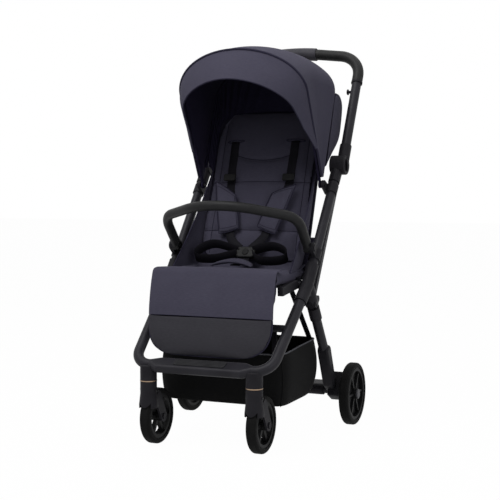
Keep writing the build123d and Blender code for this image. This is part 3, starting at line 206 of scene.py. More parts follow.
FINISH = {
    # Satin anthracite, with the faint orange peel of the baked coat
    "tube": hard_surface(
        "powder_coated_aluminium", "1e1d22", "27262b", 0.46, cloud=60, grain=1.6, gleam=0.14
    ),
    # Matt black, with the fine pits of a spark eroded mould
    "nylon": hard_surface("glass_filled_nylon", "1a191d", "232226", 0.56, grain=0.9, depth=0.06, detail=4.0),
    # Dull black wheel plastic, a shade darker than the frame
    "wheel": hard_surface(
        "moulded_polypropylene", "0f0f10", "161617", 0.54, grain=0.9, depth=0.06, detail=4.0
    ),
    # Mid grey plastic of the wheel caps, fine and even
    "cap": hard_surface("grey_abs_cap", "454548", "525255", 0.46, cloud=12, grain=0.8),
    # Lighter grey plastic of the housing between the grips
    "housing": hard_surface("grey_abs_housing", "3a393f", "47464b", 0.5, grain=0.9),
    # Dark rubber under the child's feet, with a dry skin
    "tread": hard_surface("black_rubber_tread", "262628", "2f2f31", 0.66, grain=1.0, depth=0.08),
    # Plain black board behind the cushions
    "board": hard_surface("polypropylene_board", "0f0e13", "16151a", 0.6, grain=1.4, depth=0.08),
    # Dull navy cloth glued over the backrest's board
    "back": hard_surface(
        "navy_back_cloth", "25232f", "2d2b38", 0.86, cloud=60, grain=1.4, depth=0.12, gleam=0.04
    ),
    # Dark cloth sleeve round the canopy's bows
    "sleeve": hard_surface(
        "navy_bow_sleeve", "1e1b2b", "262335", 0.86, cloud=20, grain=1.2, depth=0.1, gleam=0.03
    ),
    # Smooth and a little waxy, with a soft highlight
    "acetal": hard_surface(
        "black_acetal", "0b0b0c", "121213", 0.5, cloud=12, grain=3.0, depth=0.02, gleam=0.08
    ),
    # The same plastic, glossier, and a shade lighter: painted sheen of the buckle's bright dome
    "buckle": hard_surface(
        "buckle_acetal_painted_sheen", "0f0f10", "171718", 0.42, cloud=12, grain=3.0, depth=0.02, gleam=0.1
    ),
    # Pale metal with fine turning marks
    "steel": hard_surface("zinc_plated_steel", "85868a", "9d9ea2", 0.34, grain=0.5, depth=0.02, metallic=1.0),
    # Blackened rivets and screws with a low metal gleam
    "oxide": hard_surface("black_oxide_steel", "1c1c1e", "262628", 0.4, grain=0.6, depth=0.02, metallic=0.6),
    # Warm bronze line round the front posts
    "ring": hard_surface(
        "bronze_anodised_aluminium", "8a7562", "a08a75", 0.34, grain=0.6, depth=0.02, metallic=1.0
    ),
    # Dull black with a dusty, slightly porous skin
    "tyre": hard_surface(
        "foamed_eva", "101010", "171717", 0.72, cloud=22, grain=1.4, depth=0.12, detail=5.0, gleam=0.06
    ),
    # Black covers that the hands hold, pebbled like hide
    "grip": leatherette("grip_leatherette", "1d1d1d", "2b2b2b"),
    "bumper": leatherette("bumper_leatherette", "19191a", "272728"),
    # Navy cloth with faint lighter and darker yarns, soft and matt
    "navy": woven("navy_melange_polyester", "43414f", "4b4957", sheen=0.02),
    # Darker, thinner cloth of the canopy's inside
    "lining": woven("navy_lining_polyester", "1e1b2b", "262335", sheen=0.01),
    # Wipe-clean charcoal face with a slight sheen
    "coated": woven(
        "coated_black_polyester", "36353a", "3d3c41", thread=1.2, sheen=0.01, rough=0.66, depth=0.12
    ),
    # Coarse black cloth of the basket
    "basket": woven("black_basket_polyester", "121213", "191919", thread=1.8, sheen=0.01),
    # Tape folded over the cloth edges, darker than the cloth: the darker tone is painted shade of the dark
    # line beside its raised edge
    "piping": woven("navy_piping_tape_painted_shade", "2b2938", "343241", thread=1.2, sheen=0.01),
    # Thin grey line on the basket's rim
    "pale_piping": woven("grey_piping_tape", "55555a", "66666b", thread=1.2, sheen=0.01),
    # Stitch lines in the bottom of the seams
    "thread": woven("navy_sewing_thread", "1b1926", "23212e", thread=0.8, sheen=0.0),
    # Black straps of the harness
    "webbing": webbing(),
}


# Mesh tools


def shown_alone(obj):
    """Make obj the only selected and active object."""
    bpy.ops.object.select_all(action="DESELECT")
    bpy.context.view_layer.objects.active = obj
    obj.select_set(True)


def modify(obj, kind, **settings):
    """Add a modifier with its settings and apply it."""
    made = obj.modifiers.new(kind.lower(), kind)
    for name, value in settings.items():
        setattr(made, name, value)
    shown_alone(obj)
    bpy.ops.object.modifier_apply(modifier=made.name)
    return obj


def new_mesh(name, points, faces, *materials):
    mesh = bpy.data.meshes.new(name)
    mesh.from_pydata([tuple(p) for p in points], [], faces)
    mesh.update()
    obj = bpy.data.objects.new(name, mesh)
    bpy.context.scene.collection.objects.link(obj)
    for material in materials:
        mesh.materials.append(FINISH[material])
    return obj


# Edges sharper than these degrees stay sharp: on mouldings, sheets and straps, piping, and pads
MOULD_EDGE, SHEET_EDGE, WELT_EDGE, PAD_EDGE = 40, 50, 60, 80


def smooth(obj, angle=MOULD_EDGE):
    shown_alone(obj)
    bpy.ops.object.shade_smooth_by_angle(angle=radians(angle))
    return obj


def faces_outward(obj):
    """Merge doubles and turn all faces outwards."""
    shown_alone(obj)
    bpy.ops.object.mode_set(mode="EDIT")
    bpy.ops.mesh.select_all(action="SELECT")
    bpy.ops.mesh.remove_doubles(threshold=0.02 * MM)
    bpy.ops.mesh.normals_make_consistent(inside=False)
    bpy.ops.object.mode_set(mode="OBJECT")
    return obj


def coordinates(obj):
    return np.array([v.co for v in obj.data.vertices], float).reshape(-1, 3)


def normals(obj):
    return np.array([v.normal for v in obj.data.vertices], float).reshape(-1, 3)


def move_points(obj, spots):
    obj.data.vertices.foreach_set("co", np.asarray(spots, np.float32).ravel())
    obj.data.update()


def point_uv(obj, places):
    """UV map in metres, from a place for each point."""
    layer = obj.data.uv_layers.get("cloth") or obj.data.uv_layers.new(name="cloth")
    corners = [loop.vertex_index for loop in obj.data.loops]
    layer.data.foreach_set("uv", np.asarray(places, np.float32)[corners].ravel())
    return obj


def lay_uv(obj, across, along):
    """UV map in metres: each point's distance along two directions."""
    return point_uv(obj, coordinates(obj) @ np.array([across, along], float).T)


def run_length(line):
    return sum((b - a).length for a, b in zip(line, line[1:]))


def cloth_grid(name, point, columns, rows, materials, round_trip=False):
    """Sheet of quads through point(u, v), u and v from 0 to 1, with a UV map in metres."""
    spots = [[Vector(point(i / columns, j / rows)) for i in range(columns + 1)] for j in range(rows + 1)]
    width = columns if round_trip else columns + 1
    points = [spots[j][i] for j in range(rows + 1) for i in range(width)]
    faces = []
    for j in range(rows):
        for i in range(columns):
            k = (i + 1) % width
            faces.append((j * width + i, j * width + k, (j + 1) * width + k, (j + 1) * width + i))
    obj = new_mesh(name, points, faces, *materials)
    length_u, length_v = run_length(spots[rows // 2]), run_length([row[columns // 2] for row in spots])
    layer = obj.data.uv_layers.new(name="cloth")
    for face, polygon in enumerate(obj.data.polygons):
        i, j = face % columns, face // columns
        corners = ((i, j), (i + 1, j), (i + 1, j + 1), (i, j + 1))
        for loop, (a, b) in zip(polygon.loop_indices, corners):
            layer.data[loop].uv = (a / columns * length_u, b / rows * length_v)
    return obj


def lined(obj, thick, offset=-1):
    """Give a sheet its thickness, with its second material on the inner face."""
    inner = len(obj.data.materials) - 1
    return smooth(modify(obj, "SOLIDIFY", thickness=thick, offset=offset, material_offset=inner), SHEET_EDGE)


def through(points, steps):
    """Smooth line through given points, with even steps in each span."""
    spots = [Vector(p) for p in points]
    spots = [spots[0] * 2 - spots[1], *spots, spots[-1] * 2 - spots[-2]]
    line = []
    for a, b, c, d in zip(spots, spots[1:], spots[2:], spots[3:]):
        for k in range(steps):
            t = k / steps
            bend = (2 * a - 5 * b + 4 * c - d) * t * t + (3 * b - a - 3 * c + d) * t**3
            line.append(0.5 * (2 * b + (c - a) * t + bend))
    return [*line, spots[-2]]


RAY_START = 200


def laid_on(obj, panel, marks, lift, steps=8):
    """Smooth line through (x, up) marks in millimetres, laid on the front of a pad."""
    mesh = obj.data
    skin = BVHTree.FromPolygons([v.co for v in mesh.vertices], [p.vertices for p in mesh.polygons])
    line = []
    for mark in through([(x, up, 0) for x, up in marks], steps):
        hit = skin.ray_cast(on_panel(panel, mark.x, mark.y, RAY_START), -panel[2])[0]
        if hit is not None:
            line.append(hit + panel[2] * lift * MM)
    return line


def swept(name, rings, uv, material, closed=False):
    """Tube through rings of points, with a UV place for each point."""
    count, size = len(rings), len(rings[0])
    faces = []
    for k in range(count if closed else count - 1):
        after = (k + 1) % count
        for s in range(size):
            n = (s + 1) % size
            faces.append((k * size + s, k * size + n, after * size + n, after * size + s))
    if not closed:
        faces += [tuple(range(size))[::-1], tuple(range((count - 1) * size, count * size))]
    points = [spot for ring in rings for spot in ring]
    return faces_outward(point_uv(new_mesh(name, points, faces, material), uv))


WELT_SIDES, THREAD_SIDES = 8, 6


def welt(name, line, radius, material, sides=WELT_SIDES, closed=False):
    """Round piping along a line of points, with a UV map along it."""
    count, rings, uv = len(line), [], []
    normal, run = None, 0.0
    turns = [2 * pi * s / sides for s in range(sides)]
    for k, spot in enumerate(line):
        before = line[(k - 1) % count] if closed else line[max(k - 1, 0)]
        after = line[(k + 1) % count] if closed else line[min(k + 1, count - 1)]
        tangent = (after - before).normalized()
        normal = tangent.orthogonal() if normal is None else normal - tangent * normal.dot(tangent)
        normal.normalize()
        other = tangent.cross(normal)
        run += (spot - line[k - 1]).length if k else 0.0
        rings.append([spot + (normal * cos(turn) + other * sin(turn)) * radius for turn in turns])
        uv += [(run, turn * radius) for turn in turns]
    return smooth(swept(name, rings, uv, material, closed), WELT_EDGE)


def strap(name, line, faces_out, width, thick, edge_on=False):
    """Flat webbing along a line; faces_out is the side that shows or, edge on, the way of its width."""
    half, edge = width / 2, thick / 2
    flat = half - edge
    section = [(-half, 0), (-flat, edge), (flat, edge), (half, 0), (flat, -edge), (-flat, -edge)]
    rings, uv, run = [], [], 0.0
    for k, spot in enumerate(line):
        tangent = (line[min(k + 1, len(line) - 1)] - line[max(k - 1, 0)]).normalized()
        out = faces_out.cross(tangent) if edge_on else faces_out - tangent * faces_out.dot(tangent)
        out.normalize()
        across = tangent.cross(out)
        run += (spot - line[k - 1]).length if k else 0.0
        rings.append([spot + across * a + out * b for a, b in section])
        uv += [(run, a if b >= 0 else a + 2 * width) for a, b in section]
    return smooth(swept(name, rings, uv, "webbing"), SHEET_EDGE)


def stands(obj, slot, *replaced):
    """Hide the nodes that a piece stands for; its slot is not used."""
    if replaced:
        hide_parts(*replaced)
    return obj


def place(obj, body, slot, *replaced):
    """Let a finished piece ride on a body."""
    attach(obj, body)
    return stands(obj, slot, *replaced)


def piped(name, line, radius, body, closed=False):
    """Navy tape round a cloth edge, of a radius in millimetres."""
    return place(welt(name, line, radius * MM, "piping", closed=closed), body, "navy_fabric")


def stitched(name, line, radius, body, closed=False):
    """Sewing thread along a seam, of a radius in millimetres."""
    return place(welt(name, line, radius * MM, "thread", THREAD_SIDES, closed), body, "navy_fabric")


def for_both(hand, node):
    """Node that a pair of pieces stands for; the left one replaces it."""
    return (node,) if hand == "left" else ()


def row_shares(columns, rows):
    """Share of a lined sheet's height at each of its points, on both its faces."""
    return np.tile(np.repeat(np.linspace(0, 1, rows + 1), columns + 1), 2)


def between(obj, first, second, shares, slot, *replaced):
    """Bake the cloth's place into its mesh and hide the nodes that it stands for; first, second and shares
    are not used.
    """
    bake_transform(obj)
    return stands(obj, slot, *replaced)


# Padded pieces, filled by pressure between their sewn seams

VOXEL, CHANNEL = 5 * MM, 5 * MM
PRESSURE = 4.0
FILL_FRAMES = 20


def cad_copy(node, name, thinner):
    """Copy of a CAD solid with its corners merged and its skin moved in."""
    obj = bpy.data.objects.new(name, NODES[node].data.copy())
    obj.data.name = name
    obj.data.materials.clear()
    bpy.context.scene.collection.objects.link(obj)
    faces_outward(obj)
    obj.data.remesh_voxel_size = VOXEL
    bpy.ops.object.voxel_remesh()
    modify(obj, "SMOOTH", factor=0.5, iterations=4)
    move_points(obj, coordinates(obj) - normals(obj) * thinner)
    return obj


# How far a skin must face the front to be sewn, or the rear to be held
SEWN_FACING, HELD_FACING = 0.35, -0.6


def sew(obj, panel, lines, depth, width):
    """Push the front skin in along seam lines, given as distances from (x, up), and pin it there."""
    origin, rise, front = (np.array(v, float) for v in panel)
    spots = coordinates(obj)
    local = spots - origin
    facing = normals(obj) @ front
    near = np.full(len(spots), 1.0)
    for line in lines:
        near = np.minimum(near, np.abs(line(local[:, 0] / MM, local @ rise / MM)) * MM)
    channel = np.where(facing > SEWN_FACING, np.exp(-((near / width) ** 2)), 0.0)
    move_points(obj, spots - np.outer(channel * depth, front))
    group = obj.vertex_groups.new(name="sewn")
    for k in np.flatnonzero((channel > 0.5) | (facing < HELD_FACING)):
        group.add([int(k)], 1.0, "REPLACE")
    return obj


def fill(obj, cap):
    """Swell the pad by cloth pressure, with no point moving more than cap, then round it off."""
    spots = coordinates(obj)
    scene = bpy.context.scene
    cloth = obj.modifiers.new("filling", "CLOTH")
    cloth.settings.use_pressure = True
    cloth.settings.uniform_pressure_force = PRESSURE
    cloth.settings.effector_weights.gravity = 0
    cloth.settings.vertex_group_mass = "sewn"
    cloth.point_cache.frame_end = FILL_FRAMES
    for step in range(1, FILL_FRAMES + 1):
        scene.frame_set(step)
    filled = obj.evaluated_get(bpy.context.evaluated_depsgraph_get()).data
    moved = np.array([v.co for v in filled.vertices], float) - spots
    reach = np.linalg.norm(moved, axis=1, keepdims=True)
    spots = spots + moved * np.minimum(1.0, cap / np.maximum(reach, 1e-9))
    obj.modifiers.remove(cloth)
    scene.frame_set(1)
    move_points(obj, spots)
    modify(obj, "SMOOTH", factor=0.4, iterations=2)
    modify(obj, "SUBSURF", levels=1, render_levels=1)
    obj.vertex_groups.clear()
    return smooth(obj, PAD_EDGE)


def pad(name, node, panel, lines, material, thinner=3 * MM, depth=4 * MM, cap=6 * MM):
    """Cushion made from its CAD solid: sewn channels, then filled."""
    obj = sew(cad_copy(node, name, thinner), panel, lines, depth, CHANNEL)
    fill(obj, cap)
    obj.data.materials.append(FINISH[material])
    return lay_uv(obj, (1, 0, 0), panel[1])


def pillow(name, middle, out, thick, columns, rows, material, cap):
    """Flat bag of two faces that meet at a sewn edge, through middle(a, b), a and b from -1 to 1."""
    index, points, faces = {}, [], []
    for side in (1, -1):
        for j in range(rows + 1):
            for i in range(columns + 1):
                edge = i in (0, columns) or j in (0, rows)
                key = (i, j, 0 if edge else side)
                if key not in index:
                    a, b = 2 * i / columns - 1, 2 * j / rows - 1
                    rise = thick / 2 * ((1 - a**4) * (1 - b**4)) ** 0.5
                    index[key] = len(points)
                    points.append(middle(a, b) + out * rise * key[2])
        for j in range(rows):
            for i in range(columns):
                corners = []
                for p, q in ((i, j), (i + 1, j), (i + 1, j + 1), (i, j + 1)):
                    edge = p in (0, columns) or q in (0, rows)
                    corners.append(index[p, q, 0 if edge else side])
                faces.append(corners[::side])
    obj = faces_outward(new_mesh(name, points, faces, material))
    seam = [index[key] for key in index if key[2] == 0]
    obj.vertex_groups.new(name="sewn").add(seam, 1.0, "REPLACE")
    return fill(obj, cap)


def rounded(a, b, amount=0.2):
    """Square to a square with rounded corners."""
    return a * (1 - amount * b * b / 2) ** 0.5, b * (1 - amount * a * a / 2) ** 0.5


def quad(corners, a, b):
    """Place in a four-cornered outline, from its corners in turn."""
    a, b = rounded(a, b)
    weights = ((1 - a) * (1 + b), (1 + a) * (1 + b), (1 + a) * (1 - b), (1 - a) * (1 - b))
    across, along = (sum(w * p[k] for w, p in zip(weights, corners)) / 4 for k in (0, 1))
    return across, along


def quad_edge(corners, inset=1.0, count=24):
    """Closed outline of the same shape, drawn in to a share of its size."""
    ways = [k / count * 2 - 1 for k in range(count)]
    sides = (lambda t: (t, 1), lambda t: (1, -t), lambda t: (-t, -1), lambda t: (-1, t))
    ring = [side(t) for side in sides for t in ways]
    return [quad(corners, a * inset, b * inset) for a, b in ring]


def level(height):
    return lambda x, up: up - height


def upright(distance):
    return lambda x, up: np.abs(x) - distance


# Back cushion, with its sewn channels (millimetres up the backrest and across it)

SEAM_HIGH, SEAM_LOW = 244, 106
HEAD_SEAM, HEAD_RISE, HEAD_HALF = 306, 16, 82
BOLSTER, BOLSTER_UPS = 124, (44, 240, 420)
SEAM_HIGH_HALF, SEAM_LOW_HALF = 146, 145
FAR_OFF = 1000


def head_curve(x, up):
    """Curved seam under the headrest, between the shoulder straps."""
    return np.where(np.abs(x) < HEAD_HALF, up - HEAD_SEAM - HEAD_RISE * (x / HEAD_HALF) ** 2, FAR_OFF)


back_pad = pad(
    "back_pad",
    "backrest_cushion",
    BACK,
    [level(SEAM_HIGH), level(SEAM_LOW), head_curve, upright(BOLSTER)],
    "navy",
)
place(back_pad, "backrest", "navy_fabric", "backrest_cushion")

BACK_SEAMS = {
    "high": [(x, SEAM_HIGH) for x in (-SEAM_HIGH_HALF, 0, SEAM_HIGH_HALF)],
    "low": [(x, SEAM_LOW) for x in (-SEAM_LOW_HALF, 0, SEAM_LOW_HALF)],
    "head": [(x * HEAD_HALF, HEAD_SEAM + HEAD_RISE * x**2) for x in (-1, -0.5, 0, 0.5, 1)],
    "left": [(-BOLSTER, up) for up in BOLSTER_UPS],
    "right": [(BOLSTER, up) for up in BOLSTER_UPS],
}
SEAM_R, SEAM_LIFT, SEAM_STEPS = 0.8, 0.2, 24
for part, marks in BACK_SEAMS.items():
    seam = laid_on(back_pad, BACK, marks, SEAM_LIFT, SEAM_STEPS)
    stitched(f"back_seam_{part}", seam, SEAM_R, "backrest")

# Slots where the shoulder straps come through the headrest
SLOT_X, SLOT_UP, SLOT_HALF, SLOT_LIP = 88, 362, 26, 4
SLOT_LIFT, SLOT_DEEP, SLOT_STEPS = 0.4, 8, 32
PIPING_R = 1.3
for sign, hand in HANDS:
    lips = []
    for k in range(SLOT_STEPS):
        turn = 2 * pi * k / SLOT_STEPS
        lips.append((sign * SLOT_X + SLOT_HALF * cos(turn), SLOT_UP + SLOT_LIP * sin(turn)))
    slot_line = laid_on(back_pad, BACK, lips, SLOT_LIFT, steps=1)[:-1]
    piped(f"strap_slot_{hand}", slot_line, PIPING_R, "backrest", closed=True)

# Seat cushion and the apron that bridges it to the leg rest
SEAT_SEAM_X, SEAT_SEAM_BACK, SEAT_SEAM_BACKS = 118, 38, (-86, 0, 64)
seat_pad = pad("seat_pad", "seat_cushion", SEAT, [upright(SEAT_SEAM_X), level(SEAT_SEAM_BACK)], "navy")
place(seat_pad, "chassis", "navy_fabric", "seat_cushion")
for sign, hand in HANDS:
    marks = [(sign * SEAT_SEAM_X, back) for back in SEAT_SEAM_BACKS]
    stitched(f"seat_seam_{hand}", laid_on(seat_pad, SEAT, marks, SEAM_LIFT), SEAM_R, "chassis")

APRON_HALF, APRON_T = 167, 2.0 * MM
APRON_SINK, APRON_TOP_SINK = 6, 0.4
APRON_TOP = [Vector((0, -196, 436)), Vector((0, -216, 436)), Vector((0, -233, 431))]
APRON_FALL = ((0, 17), (-14, 18.5), (-40, 18.5), (-70, 17), (-95, 13.5))
APRON_DROP = [on_panel(LEGREST, 0, up, out) / MM for up, out in APRON_FALL]
APRON_LINE = through(APRON_TOP + APRON_DROP, steps=4)


def along_line(line, share):
    """Point at a share of a line of points."""
    k = share * (len(line) - 1)
    low = min(int(k), len(line) - 2)
    return line[low].lerp(line[low + 1], k - low)


def apron_point(u, v):
    spot = along_line(APRON_LINE, v)
    x = 2 * u - 1
    sink = APRON_SINK * x**4
    back = LEGREST[2] * sink * v + Vector((0, 0, APRON_TOP_SINK * sink * (1 - v)))
    return (Vector((APRON_HALF * x, spot.y, spot.z)) - back) * MM


APRON_CELLS = (40, 36)
apron = lined(cloth_grid("leg_apron", apron_point, *APRON_CELLS, ("navy",)), APRON_T)
# Shares of the apron's rows, rising over a short part of it at the hinge
APRON_BEND, APRON_STILL = 3.5, 0.9
apron_shares = np.clip(row_shares(*APRON_CELLS) * APRON_BEND - APRON_STILL, 0, 1)
between(apron, "chassis", "legrest", apron_shares, "navy_fabric")

# Cloth in the crease between the seat and the backrest, which rises over the hinge ears at its ends
CREASE_LINE = through([(0, -80, 425), (0, -48, 422), (0, -18, 424), (0, 0, 437), (0, 5, 449)], steps=4)
CREASE_HALF, CREASE_CELLS, CREASE_T = 164, (64, 20), 1.6 * MM
HINGE_Y, HINGE_FROM, HINGE_RISE, HINGE_EASE, HINGE_REACH = -25, 147, 16, 8, 30
CREASE_DIP = 2


def crease_point(u, v):
    spot = along_line(CREASE_LINE, v)
    x = CREASE_HALF * (2 * u - 1)
    over = min(1.0, max(0.0, (abs(x) - HINGE_FROM) / HINGE_EASE))
    lift = HINGE_RISE * over * np.exp(-(((spot.y - HINGE_Y) / HINGE_REACH) ** 2))
    dip = CREASE_DIP * (1 - over) * (x / HINGE_FROM) ** 4
    return Vector((x, spot.y, spot.z + lift - dip)) * MM


crease = lined(cloth_grid("seat_crease", crease_point, *CREASE_CELLS, ("navy",)), CREASE_T)
CREASE_BEND, CREASE_STILL = 2, 0.8
crease_shares = np.clip(row_shares(*CREASE_CELLS) * CREASE_BEND - CREASE_STILL, 0, 1)
between(crease, "chassis", "backrest", crease_shares, "navy_fabric")

# Leg rest: padded upper face, wipe-clean lower face and their bindings
leg_pad = pad("leg_pad", "legrest_pad", LEGREST, [], "navy", thinner=1.5 * MM, cap=3 * MM)
place(leg_pad, "legrest", "navy_fabric", "legrest_pad")
leg_cover = pad("leg_cover", "legrest_cover", LEGREST, [], "coated", thinner=0.5 * MM, cap=3 * MM)
# The cover is drawn down below the split, and its upper edge stands level with the apron sewn to it
COVER_SPLIT, COVER_DRAW, LEG_HALF = -96, 0.1, 164
EDGE_RISE, EDGE_FALL, EDGE_REACH = 5.0, 2.4, 24
FRONT_FROM, FRONT_SPAN = 3, 4
leg_origin, leg_rise, leg_front = (np.array(v) for v in LEGREST)
spots = coordinates(leg_cover)
cover_up = (spots - leg_origin) @ leg_rise / MM
cover_out = (spots - leg_origin) @ leg_front / MM
drawn = np.minimum(cover_up - COVER_SPLIT, 0) * COVER_DRAW * MM
near_edge = np.clip((cover_up - COVER_SPLIT + EDGE_REACH) / EDGE_REACH, 0, 1) ** 2
in_front = np.clip((cover_out - FRONT_FROM) / FRONT_SPAN, 0, 1)
edge_rise = EDGE_RISE - EDGE_FALL * (spots[:, 0] / (LEG_HALF * MM)) ** 4
raised = edge_rise * near_edge * in_front * MM
move_points(leg_cover, spots + np.outer(drawn, leg_rise) + np.outer(raised, leg_front))
place(leg_cover, "legrest", "black_fabric", "legrest_cover")
LEG_OUTLINE = [(162, -93), (164, -106), (163, -131), (154, -158), (134, -177), (98, -188), (0, -191)]
outline = LEG_OUTLINE + [(-x, up) for x, up in LEG_OUTLINE[-2::-1]]
BINDING_OUT, BINDING_R = 3.5, 2.4
binding_line = through([on_panel(LEGREST, x, up, BINDING_OUT) for x, up in outline], steps=8)
piped("leg_binding", binding_line, BINDING_R, "legrest")
JOINT_UP, JOINT_OUT, JOINT_FALL, JOINT_R = -95.5, 15.0, 5.2, 1.0
JOINT_HALF, JOINT_STEP = 160, 40
joint_places = range(-JOINT_HALF, JOINT_HALF + 1, JOINT_STEP)
joint_marks = [(x, JOINT_OUT - JOINT_FALL * (x / LEG_HALF) ** 4) for x in joint_places]
joint_line = through([on_panel(LEGREST, x, JOINT_UP, out) for x, out in joint_marks], steps=6)
stitched("leg_joint_seam", joint_line, JOINT_R, "legrest")


# Canopy: dome cover, visor, piping and bindings

CANOPY_HALF, CANOPY_SIDE, CANOPY_TOP, CANOPY_LOW = 176 * MM, 262 * MM, 380 * MM, 22 * MM
CANOPY_REAR, CANOPY_FRONT = -22.0, 27.0
COVER_T, COVER_CUT = 1.6 * MM, 0.62
COVER_SAG, SIDE_SAG = 16 * MM, 0.3
ARC_RISE = CANOPY_TOP - CANOPY_SIDE
SIDE_RUN = CANOPY_SIDE - CANOPY_LOW
ARC_RUN = pi * hypot(CANOPY_HALF, ARC_RISE) / 2**0.5
ARCH_RUN = 2 * SIDE_RUN + ARC_RUN
SIDE_SHARE = SIDE_RUN / ARCH_RUN


def arch(share):
    """Point (x, up) and outward direction of the canopy arch, from the left foot to the right one."""
    mirrored = share > 0.5
    share = 1 - share if mirrored else share
    if share < SIDE_SHARE:
        x, up = -CANOPY_HALF, CANOPY_LOW + SIDE_RUN * share / SIDE_SHARE
        nx, nu = -1.0, 0.0
    else:
        turn = pi / 2 * (share - SIDE_SHARE) / (0.5 - SIDE_SHARE)
        x, up = -CANOPY_HALF * cos(turn), CANOPY_SIDE + ARC_RISE * sin(turn)
        nx, nu = -cos(turn) / CANOPY_HALF, sin(turn) / ARC_RISE
    size = hypot(nx, nu)
    sign = -1 if mirrored else 1
    return sign * x, up, sign * nx / size, nu / size


def swung(share, forward, inward=0.0):
    """Point of the canopy at a share of the arch, swung forward about the side pivots."""
    x, up, nx, nu = arch(share)
    x, up = x - nx * inward, up - nu * inward
    turn = radians(forward)
    return Vector((x, CANOPY.y - up * sin(turn), CANOPY.z + up * cos(turn)))


def cover_point(u, v):
    sag = COVER_SAG * sin(pi * v) * (SIDE_SAG + (1 - SIDE_SAG) * sin(pi * u) ** 2)
    return swung(u, CANOPY_REAR + (CANOPY_FRONT - CANOPY_REAR) * v, sag)


COVER_CELLS = (96, 32)
canopy_cover = lined(cloth_grid("canopy_cover", cover_point, *COVER_CELLS, ("lining", "navy")), COVER_T)
cover_shares = row_shares(*COVER_CELLS)
between(canopy_cover, "chassis", "canopy_front", cover_shares, "navy_fabric", "canopy_panel")

VISOR_ROOT_UP, VISOR_PLAY = 100 * MM, 5 * MM
VISOR_TIP = Vector((0, -165, 906)) * MM
VISOR_NARROW, VISOR_TAPER, VISOR_EASE = 0.06, 0.2, 0.3
VISOR_CELLS = (80, 10)
VISOR_FROM = SIDE_SHARE * (VISOR_ROOT_UP - CANOPY_LOW) / SIDE_RUN
VISOR_ROOT = swung(VISOR_FROM, CANOPY_FRONT)


def visor_edge(share):
    """Point of the visor's free edge, which droops and narrows towards the front."""
    x, up, _, _ = arch(share)
    high = (up - VISOR_ROOT_UP) / (CANOPY_TOP - VISOR_ROOT_UP)
    side = Vector((0, VISOR_ROOT.y, VISOR_ROOT.z)).lerp(VISOR_TIP, high)
    narrow = VISOR_NARROW * min(1.0, high / VISOR_EASE) + VISOR_TAPER * high**2
    return side + Vector((x * (1 - narrow), 0, 0))


def visor_point(u, v):
    share = VISOR_FROM + (1 - 2 * VISOR_FROM) * u
    _, _, nx, nu = arch(share)
    full = Vector((nx, 0, nu)) * VISOR_PLAY * sin(pi * v)
    return swung(share, CANOPY_FRONT).lerp(visor_edge(share), v) + full


visor = lined(cloth_grid("visor", visor_point, *VISOR_CELLS, ("lining", "navy")), COVER_T)
place(visor, "canopy_front", "navy_fabric", "canopy_visor")

FRONT_PROUD, REAR_SUNK, EDGE_STEPS = 2.4 * MM, 0.6 * MM, 120
shares = [k / EDGE_STEPS for k in range(EDGE_STEPS + 1)]
# Line, radius in millimetres and body of the tape on each edge
CANOPY_EDGES = {
    "canopy_front_piping": ([swung(s, CANOPY_FRONT, -FRONT_PROUD) for s in shares], 3.2, "canopy_front"),
    "canopy_rear_binding": ([swung(s, CANOPY_REAR, REAR_SUNK) for s in shares], 2.2, "chassis"),
    "visor_binding": ([visor_point(s, 1.0) for s in shares], 1.8, "canopy_front"),
}
for name, (line, radius, body) in CANOPY_EDGES.items():
    piped(name, line, radius, body)

# Curtain that closes the back of the canopy down to the backrest's edge, in soft upright folds
CURTAIN_FROM, CURTAIN_SWING, CURTAIN_IN = 0.05, -20.0, 9.5 * MM
CURTAIN_OUT, CURTAIN_HALF, CURTAIN_FOOT, CURTAIN_TOP = -19.4, 149, 240, 446
CURTAIN_CORNER, CURTAIN_ROUND = 40, 0.6
CURTAIN_CELLS, CURTAIN_T = (208, 10), 1.0 * MM
FOLDS, FOLD_DEPTH = 26, 2.5 * MM


def board_edge(share):
    """Point on the rim of the backrest's front that faces a share of the arch."""
    mirrored = share > 0.5
    share = 1 - share if mirrored else share
    corner_up = CURTAIN_TOP - CURTAIN_CORNER
    if share < SIDE_SHARE:
        x, up = -CURTAIN_HALF, CURTAIN_FOOT + (corner_up - CURTAIN_FOOT) * share / SIDE_SHARE
    else:
        turn = pi / 2 * (share - SIDE_SHARE) / (0.5 - SIDE_SHARE)
        x = -CURTAIN_HALF * cos(turn) ** CURTAIN_ROUND
        up = corner_up + CURTAIN_CORNER * sin(turn) ** CURTAIN_ROUND
    return on_panel(BACK, -x if mirrored else x, up, CURTAIN_OUT)


def curtain_point(u, v):
    share = CURTAIN_FROM + (1 - 2 * CURTAIN_FROM) * u
    spot = swung(share, CURTAIN_SWING, CURTAIN_IN).lerp(board_edge(share), v)
    fold = FOLD_DEPTH * sin(2 * pi * FOLDS * u) * sin(pi * v)
    return spot + BACK[2] * fold


curtain = lined(cloth_grid("canopy_curtain", curtain_point, *CURTAIN_CELLS, ("lining",)), CURTAIN_T)
between(curtain, "chassis", "backrest", row_shares(*CURTAIN_CELLS), "navy_fabric")

# Hood behind the headrest: a bag of cloth between its sewn edges
HOOD_HALF, HOOD_BACK = 175, -30
HOOD_MARKS = ((512, 0), (526, 60), (514, 112), (466, 126), (410, 120), (345, 60), (290, 0))
HOOD_LINE = through([(0, up, out) for up, out in HOOD_MARKS], steps=6)
HOOD_MIDDLE, HOOD_ENDS = 410, 0.86
HOOD_ROUND, HOOD_CELLS = 5.0, (56, 36)


def hood_point(u, v):
    x = HOOD_HALF * sin(pi / 2 * (2 * u - 1))
    full = max(0.0, 1 - abs(x / HOOD_HALF) ** HOOD_ROUND) ** (1 / HOOD_ROUND)
    spot = along_line(HOOD_LINE, v)
    up = HOOD_MIDDLE + (spot.y - HOOD_MIDDLE) * (HOOD_ENDS + (1 - HOOD_ENDS) * full)
    return on_panel(BACK, x, up, HOOD_BACK - spot.z * full)


